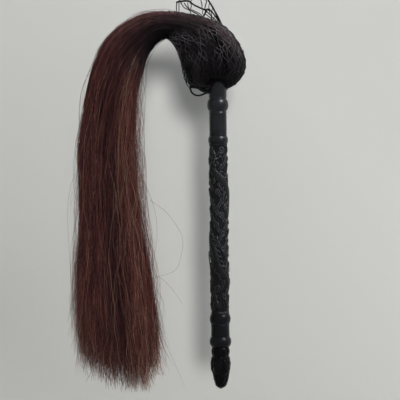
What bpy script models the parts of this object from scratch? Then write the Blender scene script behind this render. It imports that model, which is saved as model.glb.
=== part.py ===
"""Chinese fly whisk (fuchen): turned and carved handle, netted hair head and a long swinging tail.

Metres, +Z up. The whisk hangs head up from its net. The origin is where the hook bears in the
hanging loop, the handle's axis is vertical, and the hair bends over towards -X.
"""

import math
import random

import bmesh
import bpy
from mathutils import Matrix, Vector

# Clearance left between pieces that touch
GAP = 0.0003

# Handle: one vertical axis, lengths from top to bottom
HANDLE_X = 0.0215
SLEEVE_TOP_Z = -0.1340
NECK_LENGTH = 0.0262
NECK_RADIUS = 0.01105
BEAD_LENGTH = 0.0172
BEAD_RADIUS = 0.0134
BARREL_LENGTH = 0.0307
BARREL_RADIUS = 0.01095
INCISED_LINE_WIDTH = 0.0008
INCISED_LINE_DEPTH = 0.0005
INCISED_LINE_SPACING = 0.0034
UPPER_RING_LENGTH = 0.0094
UPPER_RING_RADIUS = 0.01255
GRIP_LENGTH = 0.2125
GRIP_RADIUS = 0.0115
LOWER_RING_LENGTH = 0.0125
LOWER_RING_RADIUS = 0.0131
BUTT_LENGTH = 0.0157
BUTT_RADIUS = 0.01155
POMMEL_RING_LENGTH = 0.0124
POMMEL_RING_RADIUS = 0.0136
BUD_NECK_LENGTH = 0.0125
BUD_NECK_RADIUS = 0.0110
BUD_LENGTH = 0.0402
BUD_RADIUS = 0.01225
BUD_TIP_RADIUS = 0.0030
RING_FOOT = 0.0012

# Carved relief on the grip: ridges that wind round it
RELIEF_HEIGHT = 0.0008
RELIEF_STARTS = 2
RELIEF_PITCH = 0.054
RELIEF_MARGIN = 0.006
CLOUD_HEIGHT = 0.0007
CLOUD_PITCH = 0.0230

# Hidden dowels
DOWEL_RADIUS = 0.0040
UPPER_DOWEL_INTO_HEAD = 0.012
UPPER_DOWEL_INTO_GRIP = 0.030
LOWER_DOWEL_INTO_GRIP = 0.035
LOWER_DOWEL_INTO_BUD = 0.014

# Head: hidden core, roots and binding, all on the handle's axis
CORE_NECK_RADIUS = 0.0065
CORE_NECK_LENGTH = 0.0115
CORE_KNOB_RADIUS = 0.0095
CORE_KNOB_LENGTH = 0.0110
ROOT_WALL = 0.0025
BINDING_WALL = 0.0020
LOCK_WALL_CHANNEL = 0.0012
LOCK_GROOVE = 0.0030

# The hair's route, from the neck up through the bulb, over and down to the tips. Each station is
# x, z, lean in degrees (0 where the hair runs up, 90 to the left, 180 down), half width, half depth.
HAIR_STATIONS = (
    (0.0215, -0.1475, 0, 0.0146, 0.0146),
    (0.0178, -0.1425, 2, 0.0298, 0.0240),
    (0.0163, -0.1337, 2, 0.0362, 0.0290),
    (0.0166, -0.1218, 1, 0.0388, 0.0312),
    (0.0150, -0.1092, 1, 0.0394, 0.0315),
    (0.0096, -0.0952, 4, 0.0382, 0.0312),
    (0.0016, -0.0838, 10, 0.0362, 0.0302),
    (-0.0074, -0.0765, 18, 0.0320, 0.0285),
    (-0.0179, -0.0724, 29, 0.0257, 0.0268),
    (-0.0287, -0.0700, 48, 0.0196, 0.0252),
    (-0.0399, -0.0688, 75, 0.0164, 0.0242),
    (-0.0520, -0.0694, 102, 0.0170, 0.0235),
    (-0.0642, -0.0732, 121, 0.0199, 0.0230),
    (-0.0778, -0.0822, 136, 0.0232, 0.0225),
    (-0.0892, -0.0943, 147, 0.0267, 0.0220),
    (-0.0978, -0.1095, 154, 0.0295, 0.0216),
    (-0.1039, -0.1266, 161, 0.0302, 0.0213),
    (-0.1091, -0.1447, 172, 0.0308, 0.0210),
    (-0.1125, -0.1647, 180, 0.0316, 0.0210),
    (-0.1179, -0.2246, 180, 0.0347, 0.0210),
    (-0.1148, -0.3071, 180, 0.0370, 0.0218),
    (-0.1098, -0.3847, 180, 0.0454, 0.0232),
    (-0.1058, -0.4486, 180, 0.0469, 0.0228),
    (-0.1020, -0.5240, 180, 0.0440, 0.0200),
)
BULB_BOTTOM = 0.0
BULB_TOP = 8.0
ARC_END = 15.35
NET_NECK = 0.30
NET_MOUTH = 9.3

# Hanging tail: lengths from the shoulder's end down. The joint axes lie halfway down the bends,
# which are the shoulder, the nape and the waist.
SHOULDER_END_Z = -0.1760
FALL_LENGTH = 0.0290
NAPE_LENGTH = 0.0240
UPPER_TAIL_LENGTH = 0.0970
WAIST_LENGTH = 0.0380
SLICE_THICKNESS = 0.0080

# Open strands of the lower tail: tips reach lowest at the right
STRAND_RINGS = (6, 12, 18, 24, 30, 36, 48)
STRAND_MARGIN = 0.00030
STRAND_MIDDLE = 0.60
STRAND_MIDDLE_SCALE = 0.62
TIP_LEFT_Z = -0.4760
TIP_RIGHT_Z = -0.5210
TIP_SLOPE_WIDTH = 0.0520
TIP_SCATTER = 0.0110

# Flutes that the gathered hair shows
FLUTES = 9
FLUTE_DEPTH = 0.030

# Net: thread size, bag wall, tent outline and mesh counts
THREAD_WIDTH = 0.0007
BAG_WALL = 0.0006
BAG_CLEARANCE = 0.0007
TENT_TOP_Z = -0.0225
TENT_TOP_HALF_WIDTH = 0.0034
TENT_LEFT_X = -0.0265
TENT_LEFT_Z = -0.0392
TENT_ROWS = 7
TENT_COLUMNS = 4
TENT_LEFT_STATION = 9.15
TENT_RIGHT_STATION = 6.0

# Net edge cord at the neck and its slack loop
CORD_RADIUS = 0.0008
RIM_CORD_Z = -0.1492
RIM_LOOP_ROUTE = (
    (-0.0128, -0.1482),
    (-0.0105, -0.1528),
    (-0.0070, -0.1556),
    (-0.0032, -0.1566),
    (0.0012, -0.1560),
    (0.0056, -0.1542),
    (0.0093, -0.1530),
)

# Hanging loop and knot, above the tent
LOOP_OPENING_RADIUS = 0.0060
KNOT_RADIUS = 0.0029

ROUND_SEGMENTS = 24

LACQUERED_WOOD = (0.018, 0.017, 0.020)
BARE_WOOD = (0.180, 0.095, 0.050)
DARK_HAIR = (0.022, 0.015, 0.014)
BROWN_HAIR = (0.060, 0.026, 0.020)
NET_BLACK = (0.012, 0.012, 0.013)


def clear_scene():
    for obj in list(bpy.data.objects):
        bpy.data.objects.remove(obj, do_unlink=True)


def make_material(name, colour, roughness):
    material = bpy.data.materials.new(name)
    material.use_nodes = True
    shader = material.node_tree.nodes["Principled BSDF"]
    shader.inputs["Base Color"].default_value = (*colour, 1.0)
    shader.inputs["Roughness"].default_value = roughness
    shader.inputs["Metallic"].default_value = 0.0
    return material


def make_object(name, mesh_builder, parent, colour, roughness):
    """Closes the builder's mesh, faces it outwards and hangs it on its parent empty."""
    bmesh.ops.recalc_face_normals(mesh_builder, faces=mesh_builder.faces)
    if mesh_builder.calc_volume(signed=True) < 0:
        bmesh.ops.reverse_faces(mesh_builder, faces=mesh_builder.faces)
    mesh = bpy.data.meshes.new(name)
    mesh_builder.to_mesh(mesh)
    mesh_builder.free()
    mesh.transform(Matrix.Translation(-parent.matrix_world.translation))
    mesh.shade_smooth()
    mesh.set_sharp_from_angle(angle=math.radians(35))
    mesh.materials.append(make_material(name, colour, roughness))
    obj = bpy.data.objects.new(name, mesh)
    bpy.context.scene.collection.objects.link(obj)
    obj.parent = parent
    return obj


def make_empty(name, place, parent=None):
    empty = bpy.data.objects.new(name, None)
    empty.empty_display_size = 0.02
    bpy.context.scene.collection.objects.link(empty)
    empty.parent = parent
    held = parent.matrix_world.translation if parent else Vector()
    empty.location = Vector(place) - held
    bpy.context.view_layer.update()
    return empty


def join_rings(builder, rings, loop_closed):
    """Skins rings of vertices; a ring of one vertex is a pole."""
    pairs = list(zip(rings, rings[1:]))
    if loop_closed:
        pairs.append((rings[-1], rings[0]))
    for first, second in pairs:
        count = max(len(first), len(second))
        if count == 1:
            continue
        for i in range(count):
            j = (i + 1) % count
            corners = [
                first[i % len(first)],
                first[j % len(first)],
                second[j % len(second)],
                second[i % len(second)],
            ]
            builder.faces.new(dict.fromkeys(corners))


def lathe(profile, loop_closed, axis_x=HANDLE_X, segments=ROUND_SEGMENTS, relief=None):
    """Turns a profile of radius and z about the handle's axis. A relief adds to the outer radii."""
    builder = bmesh.new()
    rings = []
    for radius, z in profile:
        count = segments if radius > 1e-6 else 1
        ring = []
        for i in range(count):
            angle = math.tau * i / segments
            reach = radius + (relief(radius, angle, z) if relief else 0.0)
            x = axis_x + reach * math.cos(angle)
            ring.append(builder.verts.new((x, reach * math.sin(angle), z)))
        rings.append(ring)
    join_rings(builder, rings, loop_closed)
    return builder


def swelling(top_z, length, foot_radius, crest_radius, points=7):
    """Profile of a turned bead, ring or collar, top to bottom, with a short square foot each side."""
    profile = [(foot_radius, top_z)]
    for i in range(points):
        share = i / (points - 1)
        z = top_z - RING_FOOT - share * (length - 2 * RING_FOOT)
        radius = foot_radius + (crest_radius - foot_radius) * math.sin(math.pi * share) ** 0.6
        profile.append((radius, z))
    profile.append((foot_radius, top_z - length))
    return profile[:1] + profile[2:-2] + profile[-1:]


def bored(profile, bore_radius):
    """Closes an outer profile with a through bore."""
    return profile + [(bore_radius, profile[-1][1]), (bore_radius, profile[0][1])]


def ring_heights(top_z, lengths):
    """Top level of each length in a stack."""
    tops = [top_z]
    for length in lengths:
        tops.append(tops[-1] - length)
    return tops


def station(t):
    """Hair route at a station number, by a smooth curve through the stations."""
    last = len(HAIR_STATIONS) - 1
    i = min(max(int(t), 0), last - 1)
    f = t - i
    rows = [HAIR_STATIONS[min(max(k, 0), last)] for k in (i - 1, i, i + 1, i + 2)]
    x, z, lean, half_width, half_depth = (
        0.5 * (2 * b + (c - a) * f + (2 * a - 5 * b + 4 * c - d) * f * f + (3 * b - a - 3 * c + d) * f**3)
        for a, b, c, d in zip(*rows)
    )
    lean = math.radians(lean)
    outward = Vector((math.cos(lean), 0, math.sin(lean)))
    onward = Vector((-math.sin(lean), 0, math.cos(lean)))
    return Vector((x, 0, z)), outward, onward, half_width, half_depth


def station_at(z, low=17.0, high=len(HAIR_STATIONS) - 1.0):
    """Station number where the hair passes a level: by default where the tail hangs."""
    falling = station(low)[0].z > station(high)[0].z
    for _ in range(40):
        middle = (low + high) / 2
        if (station(middle)[0].z > z) == falling:
            low = middle
        else:
            high = middle
    return (low + high) / 2


def hair_point(t, angle, grow=0.0, shift=0.0, share=1.0):
    """Point on the hair's outer surface. Angle 0 is the outer side of the bend."""
    centre, outward, onward, half_width, half_depth = station(t)
    across = outward * (share * half_width + grow) * math.cos(angle)
    deep = Vector((0, 1, 0)) * (share * half_depth + grow) * math.sin(angle)
    return centre + onward * shift + across + deep


def flute(angle, t):
    """Share of the full radius that the gathered hair keeps, with shallow grooves along it."""
    wave = math.sin(FLUTES * angle + 0.8 * t) + 0.5 * math.sin((2 * FLUTES + 1) * angle - 0.5 * t)
    return 1.0 - FLUTE_DEPTH * (0.5 + wave / 3.0)


def hair_length(t_first, t_last, steps, around=30):
    """Solid length of gathered hair between two stations, half a gap short at each end."""
    builder = bmesh.new()
    rings = []
    for k in range(steps + 1):
        t = t_first + (t_last - t_first) * k / steps
        shift = GAP / 2 if k == 0 else -GAP / 2 if k == steps else 0.0
        angles = [math.tau * i / around for i in range(around)]
        points = [hair_point(t, a, shift=shift, share=flute(a, t)) for a in angles]
        rings.append([builder.verts.new(p) for p in points])
    join_rings(builder, rings, loop_closed=False)
    builder.faces.new(rings[0])
    builder.faces.new(rings[-1])
    return builder


def bulb_steps(cavity_top):
    """Station numbers of the rings that the locks and the net over them share."""
    return (BULB_BOTTOM, 0.55, 1.2, 2.0, 3.0, cavity_top, cavity_top + 0.8, 6.0, 7.0, BULB_TOP)


def lock_inner_point(t, angle, cavity_radius, cavity_top):
    """Inner face of the folded locks: clear of the sleeve and the core, then a narrow channel."""
    centre, outward, _, _, _ = station(t)
    upright = Vector((HANDLE_X, 0, centre.z))
    if t < 0.5:
        middle, radius = upright, NECK_RADIUS + GAP
    elif t <= cavity_top:
        middle, radius = upright, cavity_radius
    else:
        middle, radius = centre, LOCK_WALL_CHANNEL
    return middle + radius * (outward * math.cos(angle) + Vector((0, math.sin(angle), 0)))


def skin_lock(builder, lower, upper, around):
    """Faces between two loops of a lock. Its sides split the same way as the next lock's, so they nest."""
    count = len(lower)
    for i in range(count):
        j = (i + 1) % count
        if i in (around, count - 1):
            rim, hub = (i, j) if i == around else (j, i)
            builder.faces.new((lower[rim], lower[hub], upper[hub]))
            builder.faces.new((lower[rim], upper[hub], upper[rim]))
        else:
            builder.faces.new((lower[i], lower[j], upper[j], upper[i]))


def hair_lock(angle_first, angle_last, cavity_radius, cavity_top, around=8):
    """One folded lock of the bulb, between two angles round it, with a groove at each side."""
    builder = bmesh.new()
    loops = []
    for t in bulb_steps(cavity_top):
        half_width = station(t)[3]
        gap_angle = GAP / 2 / half_width
        shift = -GAP / 2 if t == BULB_TOP else 0.0
        outer, inner = [], []
        for i in range(around + 1):
            share = i / around
            angle = angle_first + gap_angle + share * (angle_last - angle_first - 2 * gap_angle)
            groove = LOCK_GROOVE * (2 * abs(share - 0.5)) ** 4 * min(1.0, t / 2.0)
            fade = 1.0 - max(0.0, (t - 6.0) / 2.0)
            outer.append(hair_point(t, angle, grow=-groove * fade, shift=shift))
            spread = angle_first + 4 * gap_angle + share * (angle_last - angle_first - 8 * gap_angle)
            inner.append(lock_inner_point(t, spread, cavity_radius, cavity_top))
        loops.append([builder.verts.new(p) for p in outer + inner[::-1]])
    for lower, upper in zip(loops, loops[1:]):
        skin_lock(builder, lower, upper, around)
    for loop in (loops[0], loops[-1]):
        for i in range(around):
            builder.faces.new((loop[i], loop[i + 1], loop[-2 - i], loop[-1 - i]))
    return builder


def net_bag(cavity_top, around=24):
    """Thin wall over the bulb, open at the neck and at the hair's way out."""
    builder = bmesh.new()
    rings = []
    steps = (NET_NECK, *bulb_steps(cavity_top)[1:], (BULB_TOP + NET_MOUTH) / 2, NET_MOUTH)
    for grow, order in ((BAG_CLEARANCE + BAG_WALL, steps), (BAG_CLEARANCE, steps[::-1])):
        for t in order:
            points = [hair_point(t, math.tau * i / around, grow=grow) for i in range(around)]
            rings.append([builder.verts.new(p) for p in points])
    join_rings(builder, rings, loop_closed=True)
    return builder


def tube(points, radius, sides=6):
    """Round cord along points in the XZ plane, with flat ends."""
    builder = bmesh.new()
    rings = []
    for i, point in enumerate(points):
        ahead = points[min(i + 1, len(points) - 1)] - points[max(i - 1, 0)]
        side = Vector((0, 1, 0)).cross(ahead).normalized()
        ring = []
        for k in range(sides):
            angle = math.tau * k / sides
            offset = radius * (side * math.cos(angle) + Vector((0, math.sin(angle), 0)))
            ring.append(builder.verts.new(point + offset))
        rings.append(ring)
    join_rings(builder, rings, loop_closed=False)
    builder.faces.new(rings[0])
    builder.faces.new(rings[-1])
    return builder


def smooth_route(route, per_span=3):
    """Points read from a smooth curve through a route of x and z."""
    spots = [Vector((x, 0, z)) for x, z in route]
    spots = [2 * spots[0] - spots[1]] + spots + [2 * spots[-1] - spots[-2]]
    points = []
    for a, b, c, d in zip(spots, spots[1:], spots[2:], spots[3:]):
        for k in range(per_span):
            f = k / per_span
            bend = (c - a) * f + (2 * a - 5 * b + 4 * c - d) * f * f + (3 * b - a - 3 * c + d) * f**3
            points.append(0.5 * (2 * b + bend))
    points.append(spots[-2])
    return points


def torus(centre, axis, ring_radius, cord_radius, around=20, sides=6):
    builder = bmesh.new()
    turn = Vector((0, 0, 1)).rotation_difference(Vector(axis)).to_matrix()
    rings = []
    for i in range(around):
        ring_angle = math.tau * i / around
        ring = []
        for k in range(sides):
            angle = math.tau * k / sides
            reach = ring_radius + cord_radius * math.cos(angle)
            flat = (reach * math.cos(ring_angle), reach * math.sin(ring_angle))
            point = Vector((*flat, cord_radius * math.sin(angle)))
            ring.append(builder.verts.new(Vector(centre) + turn @ point))
        rings.append(ring)
    join_rings(builder, rings, loop_closed=True)
    return builder


def tent_point(row, across):
    """Point of the flat net above the bulb: row 0 is its gathered top, across runs from left to right."""
    down = row / TENT_ROWS
    gap = BAG_CLEARANCE + BAG_WALL + 2 * GAP
    left_foot = hair_point(TENT_LEFT_STATION, 0.0, grow=gap)
    right_foot = hair_point(TENT_RIGHT_STATION, 0.0, grow=gap)
    top_left = Vector((-TENT_TOP_HALF_WIDTH, 0, TENT_TOP_Z))
    top_right = Vector((TENT_TOP_HALF_WIDTH, 0, TENT_TOP_Z))
    corner = Vector((TENT_LEFT_X, 0, TENT_LEFT_Z))
    bend = (corner - top_left).length
    run = bend + (left_foot - corner).length
    reach = down * run
    if reach < bend:
        left = top_left.lerp(corner, reach / bend)
    else:
        left = corner.lerp(left_foot, (reach - bend) / (run - bend))
    right = top_right.lerp(right_foot, down)
    point = left.lerp(right, across)
    t = TENT_LEFT_STATION + (TENT_RIGHT_STATION - TENT_LEFT_STATION) * across
    foot = hair_point(t, 0.0, grow=gap)
    return point.lerp(foot, down**4)


def net_tent():
    """Flat net of diamond gaps, half diamonds along its edges."""
    builder = bmesh.new()
    verts = {}

    def corner(row, half_steps):
        key = (row, half_steps)
        if key not in verts:
            verts[key] = builder.verts.new(tent_point(row, half_steps / (2 * TENT_COLUMNS)))
        return verts[key]

    for row in range(0, TENT_ROWS + 1):
        for middle in range(0, 2 * TENT_COLUMNS + 1):
            if (row + middle) % 2 == 0:
                continue
            cell = []
            for r, c in ((row - 1, middle), (row, middle + 1), (row + 1, middle), (row, middle - 1)):
                if 0 <= r <= TENT_ROWS and 0 <= c <= 2 * TENT_COLUMNS:
                    cell.append((r, c))
            if len(cell) < 3:
                continue
            builder.faces.new([corner(r, c) for r, c in cell])
    for cell in list(builder.faces):
        open_gap(builder, cell)
    bmesh.ops.recalc_face_normals(builder, faces=builder.faces)
    made = bmesh.ops.extrude_face_region(builder, geom=list(builder.faces), use_keep_orig=True)
    moved = [item for item in made["geom"] if isinstance(item, bmesh.types.BMVert)]
    bmesh.ops.translate(builder, verts=moved, vec=(0, THREAD_WIDTH, 0))
    bmesh.ops.translate(builder, verts=builder.verts, vec=(0, -THREAD_WIDTH / 2, 0))
    return builder


def open_gap(builder, cell):
    """Turns one cell of the flat net into a frame, half a thread wide all round. Drawn-up ones stay shut."""
    rim = list(cell.verts)
    middle = cell.calc_center_median()
    inner_radius = 2 * cell.calc_area() / cell.calc_perimeter()
    if inner_radius < 0.75 * THREAD_WIDTH:
        return
    share = 1.0 - THREAD_WIDTH / 2 / inner_radius
    inner = [builder.verts.new(middle.lerp(vert.co, share)) for vert in rim]
    builder.faces.remove(cell)
    join_rings(builder, [rim, inner], loop_closed=False)


def tip_level(x, jitter):
    """Lowest point of a strand whose tip hangs at x: a slanted fringe, longest at the right."""
    centre, _, _, half_width, _ = station_at_tip()
    share = min(1.0, max(0.0, (x - (centre.x - half_width)) / TIP_SLOPE_WIDTH))
    return TIP_LEFT_Z + (TIP_RIGHT_Z - TIP_LEFT_Z) * share + jitter


def station_at_tip():
    return station(len(HAIR_STATIONS) - 1.0)


def tail_point(u, v, z):
    """Point inside the hanging tail: u and v run from -1 to 1 across its width and depth."""
    centre, outward, _, half_width, half_depth = station(station_at(z))
    return centre + outward * half_width * u + Vector((0, half_depth * v, 0))


def lower_tail(waist_end_z):
    """Slice of gathered hair whose underside is drawn out into separate three-sided strands."""
    chance = random.Random(11)
    builder = bmesh.new()
    top_z = waist_end_z - GAP / 2
    bottom_z = waist_end_z - SLICE_THICKNESS
    spots = [[(0.0, 0.0)]]
    for k, count in enumerate(STRAND_RINGS, start=1):
        radius = k / len(STRAND_RINGS)
        angles = [math.tau * (i + 0.5 * (k % 2)) / count for i in range(count)]
        spots.append([(radius * math.cos(a), radius * math.sin(a)) for a in angles])
    rings = [[builder.verts.new(tail_point(u, v, bottom_z)) for u, v in ring] for ring in spots]
    roots = []
    for k in range(1, len(rings)):
        roots += ring_triangles(builder, rings[k - 1], rings[k], spots[k - 1], spots[k])
    rim = rings[-1]
    upper = [builder.verts.new(tail_point(u, v, top_z)) for u, v in spots[-1]]
    join_rings(builder, [rim, upper], loop_closed=False)
    builder.faces.new(upper)
    for root, u, v in roots:
        draw_strand(builder, root, u, v, bottom_z, chance)
    return builder


def ring_triangles(builder, inner, outer, inner_spots, outer_spots):
    """Triangles between two rings of unlike counts, each returned with its middle in u and v."""
    made = []
    i = j = 0
    while i < len(inner) or j < len(outer):
        inner_next = (i + 1) / len(inner)
        outer_next = (j + 1) / len(outer)
        a, b = i % len(inner), j % len(outer)
        if len(inner) > 1 and i < len(inner) and (j >= len(outer) or inner_next <= outer_next):
            ahead = (a + 1) % len(inner)
            picks = ((inner, inner_spots, a), (inner, inner_spots, ahead), (outer, outer_spots, b))
            i += 1
        elif j < len(outer):
            ahead = (b + 1) % len(outer)
            picks = ((inner, inner_spots, a), (outer, outer_spots, b), (outer, outer_spots, ahead))
            j += 1
        else:
            break
        face = builder.faces.new([ring[n] for ring, _, n in picks])
        u = sum(spots[n][0] for _, spots, n in picks) / 3
        v = sum(spots[n][1] for _, spots, n in picks) / 3
        made.append((face, u, v))
    return made


def draw_strand(builder, root, u, v, root_z, chance):
    """Insets one root triangle and draws it down to a middle triangle and a point."""
    tip_x = tail_point(u, v, TIP_LEFT_Z).x
    tip_z = tip_level(tip_x, chance.uniform(-TIP_SCATTER, TIP_SCATTER) * 0.5)
    middle_z = root_z + (tip_z - root_z) * STRAND_MIDDLE
    bmesh.ops.inset_individual(builder, faces=[root], thickness=STRAND_MARGIN, use_even_offset=True)
    foot = list(root.verts)
    centre = sum((vert.co for vert in foot), Vector()) / 3
    middle_centre = tail_point(u, v, middle_z)
    middle = []
    for vert in foot:
        offset = (vert.co - centre) * STRAND_MIDDLE_SCALE
        middle.append(builder.verts.new(middle_centre + offset))
    tip = builder.verts.new(tail_point(u, v, tip_z))
    builder.faces.remove(root)
    join_rings(builder, [foot, middle, [tip]], loop_closed=False)


def grip_relief(top_z, bottom_z):
    """Winding ridges with rounded clouds between them, fading out at both ends of the grip."""

    def relief(radius, angle, z):
        if radius < 0.9 * GRIP_RADIUS:
            return 0.0
        inset = min(top_z - z, z - bottom_z)
        fade = min(1.0, max(0.0, inset / RELIEF_MARGIN))
        wind = RELIEF_STARTS * angle + math.tau * z / RELIEF_PITCH
        drift = 0.9 * math.sin(math.tau * z / (2.6 * RELIEF_PITCH) + angle)
        ridge = math.sin(wind + drift)
        clouds = math.sin(math.tau * z / CLOUD_PITCH + 2 * angle) * math.cos(3 * angle + 40 * z)
        return fade * (RELIEF_HEIGHT * ridge + CLOUD_HEIGHT * clouds)

    return relief


def make_handle(hook):
    lengths = (
        NECK_LENGTH + BEAD_LENGTH + BARREL_LENGTH,
        UPPER_RING_LENGTH,
        GRIP_LENGTH,
        LOWER_RING_LENGTH,
        BUTT_LENGTH,
        POMMEL_RING_LENGTH,
        BUD_NECK_LENGTH + BUD_LENGTH,
    )
    sleeve_z, ring_z, grip_z, lower_ring_z, butt_z, pommel_z, bud_z, tip_z = ring_heights(
        SLEEVE_TOP_Z, lengths
    )
    bore = DOWEL_RADIUS + GAP
    wood = dict(parent=hook, colour=LACQUERED_WOOD, roughness=0.35)

    bead_z = sleeve_z - NECK_LENGTH
    barrel_z = bead_z - BEAD_LENGTH
    sleeve = [(NECK_RADIUS, sleeve_z), (NECK_RADIUS, bead_z)]
    sleeve += swelling(bead_z, BEAD_LENGTH, 0.97 * NECK_RADIUS, BEAD_RADIUS)[1:]
    sleeve += [(BARREL_RADIUS, barrel_z - RING_FOOT)]
    line_z = ring_z + INCISED_LINE_SPACING + 3 * INCISED_LINE_WIDTH
    for top in (line_z, line_z - INCISED_LINE_SPACING):
        sleeve += [
            (BARREL_RADIUS, top),
            (BARREL_RADIUS - INCISED_LINE_DEPTH, top - INCISED_LINE_WIDTH / 2),
            (BARREL_RADIUS, top - INCISED_LINE_WIDTH),
        ]
    sleeve += [(BARREL_RADIUS, ring_z + GAP)]
    make_object("neck_sleeve", lathe(bored(sleeve, bore), True), **wood)

    ring = swelling(ring_z, UPPER_RING_LENGTH - GAP, 0.93 * UPPER_RING_RADIUS, UPPER_RING_RADIUS)
    make_object("upper_ring", lathe(bored(ring, bore), True), **wood)

    grip_bottom = lower_ring_z + GAP
    steps = 54
    grip = [(GRIP_RADIUS, grip_z + (grip_bottom - grip_z) * k / steps) for k in range(steps + 1)]
    blind_top = grip_z - UPPER_DOWEL_INTO_GRIP - GAP
    blind_bottom = grip_bottom + LOWER_DOWEL_INTO_GRIP + GAP
    profile = [(0.0, blind_top), (bore, blind_top), (bore, grip_z)] + grip
    profile += [(bore, grip_bottom), (bore, blind_bottom), (0.0, blind_bottom)]
    relief = grip_relief(grip_z, grip_bottom)
    make_object("carved_grip", lathe(profile, False, relief=relief), **wood)

    ring = swelling(lower_ring_z, LOWER_RING_LENGTH - GAP, 0.90 * LOWER_RING_RADIUS, LOWER_RING_RADIUS)
    make_object("lower_ring", lathe(bored(ring, bore), True), **wood)

    butt = [(BUTT_RADIUS, butt_z), (BUTT_RADIUS, pommel_z + GAP)]
    make_object("butt_sleeve", lathe(bored(butt, bore), True), **wood)

    ring = swelling(pommel_z, POMMEL_RING_LENGTH - GAP, 0.88 * POMMEL_RING_RADIUS, POMMEL_RING_RADIUS)
    make_object("pommel_ring", lathe(bored(ring, bore), True), **wood)

    neck_end = bud_z - BUD_NECK_LENGTH
    bud = swelling(bud_z, BUD_NECK_LENGTH, 0.92 * BUD_NECK_RADIUS, BUD_NECK_RADIUS)
    steps = 12
    for k in range(1, steps + 1):
        share = k / steps
        z = neck_end - share * (neck_end - tip_z)
        fullness = math.sin(math.pi * min(1.0, 0.34 + 0.66 * share)) ** 0.55
        radius = BUD_TIP_RADIUS + (BUD_RADIUS - BUD_TIP_RADIUS) * fullness
        bud.append((radius, z))
    blind = bud_z - LOWER_DOWEL_INTO_BUD - GAP
    profile = [(0.0, blind), (bore, blind), (bore, bud_z)] + bud + [(0.0, tip_z)]
    make_object("pommel_bud", lathe(profile, False), **wood)

    dowels = (
        ("upper_dowel", sleeve_z + UPPER_DOWEL_INTO_HEAD, grip_z - UPPER_DOWEL_INTO_GRIP),
        ("lower_dowel", grip_bottom + LOWER_DOWEL_INTO_GRIP, bud_z - LOWER_DOWEL_INTO_BUD),
    )
    for name, top, bottom in dowels:
        profile = [(0.0, top), (DOWEL_RADIUS, top), (DOWEL_RADIUS, bottom), (0.0, bottom)]
        make_object(name, lathe(profile, False, segments=20), hook, BARE_WOOD, 0.6)


def make_head(hook):
    base_z = SLEEVE_TOP_Z + GAP
    knob_z = base_z + CORE_NECK_LENGTH
    core_top = knob_z + CORE_KNOB_LENGTH
    bore = DOWEL_RADIUS + GAP
    blind = SLEEVE_TOP_Z + UPPER_DOWEL_INTO_HEAD + GAP
    profile = [
        (0.0, blind),
        (bore, blind),
        (bore, base_z),
        (CORE_NECK_RADIUS, base_z),
        (CORE_NECK_RADIUS, knob_z),
        (CORE_KNOB_RADIUS, knob_z),
        (CORE_KNOB_RADIUS, knob_z + 0.5 * CORE_KNOB_LENGTH),
        (0.75 * CORE_KNOB_RADIUS, knob_z + 0.85 * CORE_KNOB_LENGTH),
        (0.0, core_top),
    ]
    make_object("head_core", lathe(profile, False, segments=24), hook, BARE_WOOD, 0.6)

    inner = CORE_NECK_RADIUS + GAP
    outer = inner + ROOT_WALL
    top = knob_z - GAP
    roots = [(outer, top), (outer, base_z)]
    make_object("root_hair", lathe(bored(roots, inner), True, segments=24), hook, DARK_HAIR, 0.6)

    inner = outer + GAP
    outer = inner + BINDING_WALL
    band = [(outer, top), (outer, base_z)]
    make_object("root_binding", lathe(bored(band, inner), True, segments=24), hook, NET_BLACK, 0.7)

    cavity_radius = outer + GAP
    cavity_top = station_at(core_top + 2 * GAP, 2.0, 6.0)
    edges = (
        ("hair_lock_front_right", -69, -18),
        ("hair_lock_right", -18, 62),
        ("hair_lock_back", 62, 150),
        ("hair_lock_left", 150, 212),
        ("hair_lock_front", 212, 291),
    )
    for name, first, last in edges:
        lock = hair_lock(math.radians(first), math.radians(last), cavity_radius, cavity_top)
        make_object(name, lock, hook, DARK_HAIR, 0.5)

    make_object("hair_arc", hair_length(BULB_TOP, ARC_END, 14), hook, DARK_HAIR, 0.5)
    return cavity_top


def make_net(hook, cavity_top):
    net = dict(parent=hook, colour=NET_BLACK, roughness=0.7)
    make_object("net_bag", net_bag(cavity_top), **net)
    rim_radius = NECK_RADIUS + GAP + CORD_RADIUS + 0.0001
    rim = torus((HANDLE_X, 0, RIM_CORD_Z), (0, 0, 1), rim_radius, CORD_RADIUS)
    make_object("net_rim_cord", rim, **net)
    make_object("net_rim_loop", tube(smooth_route(RIM_LOOP_ROUTE), CORD_RADIUS), **net)
    make_object("net_tent", net_tent(), **net)

    loop_radius = LOOP_OPENING_RADIUS + CORD_RADIUS
    loop = torus((0, 0, -LOOP_OPENING_RADIUS), (0, 1, 0), loop_radius, CORD_RADIUS)
    make_object("hang_loop", loop, **net)
    knot = bmesh.new()
    bmesh.ops.create_uvsphere(knot, u_segments=12, v_segments=8, radius=KNOT_RADIUS)
    knot_z = -2 * loop_radius - GAP - KNOT_RADIUS
    bmesh.ops.translate(knot, verts=knot.verts, vec=(0, 0, knot_z))
    make_object("hang_knot", knot, **net)


def plumb_axis(bend_top_z, bend_bottom_z):
    """Place of a bend's axis: halfway down the bend, and above the middle of all that hangs below it."""
    middle_z = (bend_top_z + bend_bottom_z) / 2
    hanging_middle_z = (bend_bottom_z + HAIR_STATIONS[-1][1]) / 2
    return station(station_at(hanging_middle_z))[0].x, 0, middle_z


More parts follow.
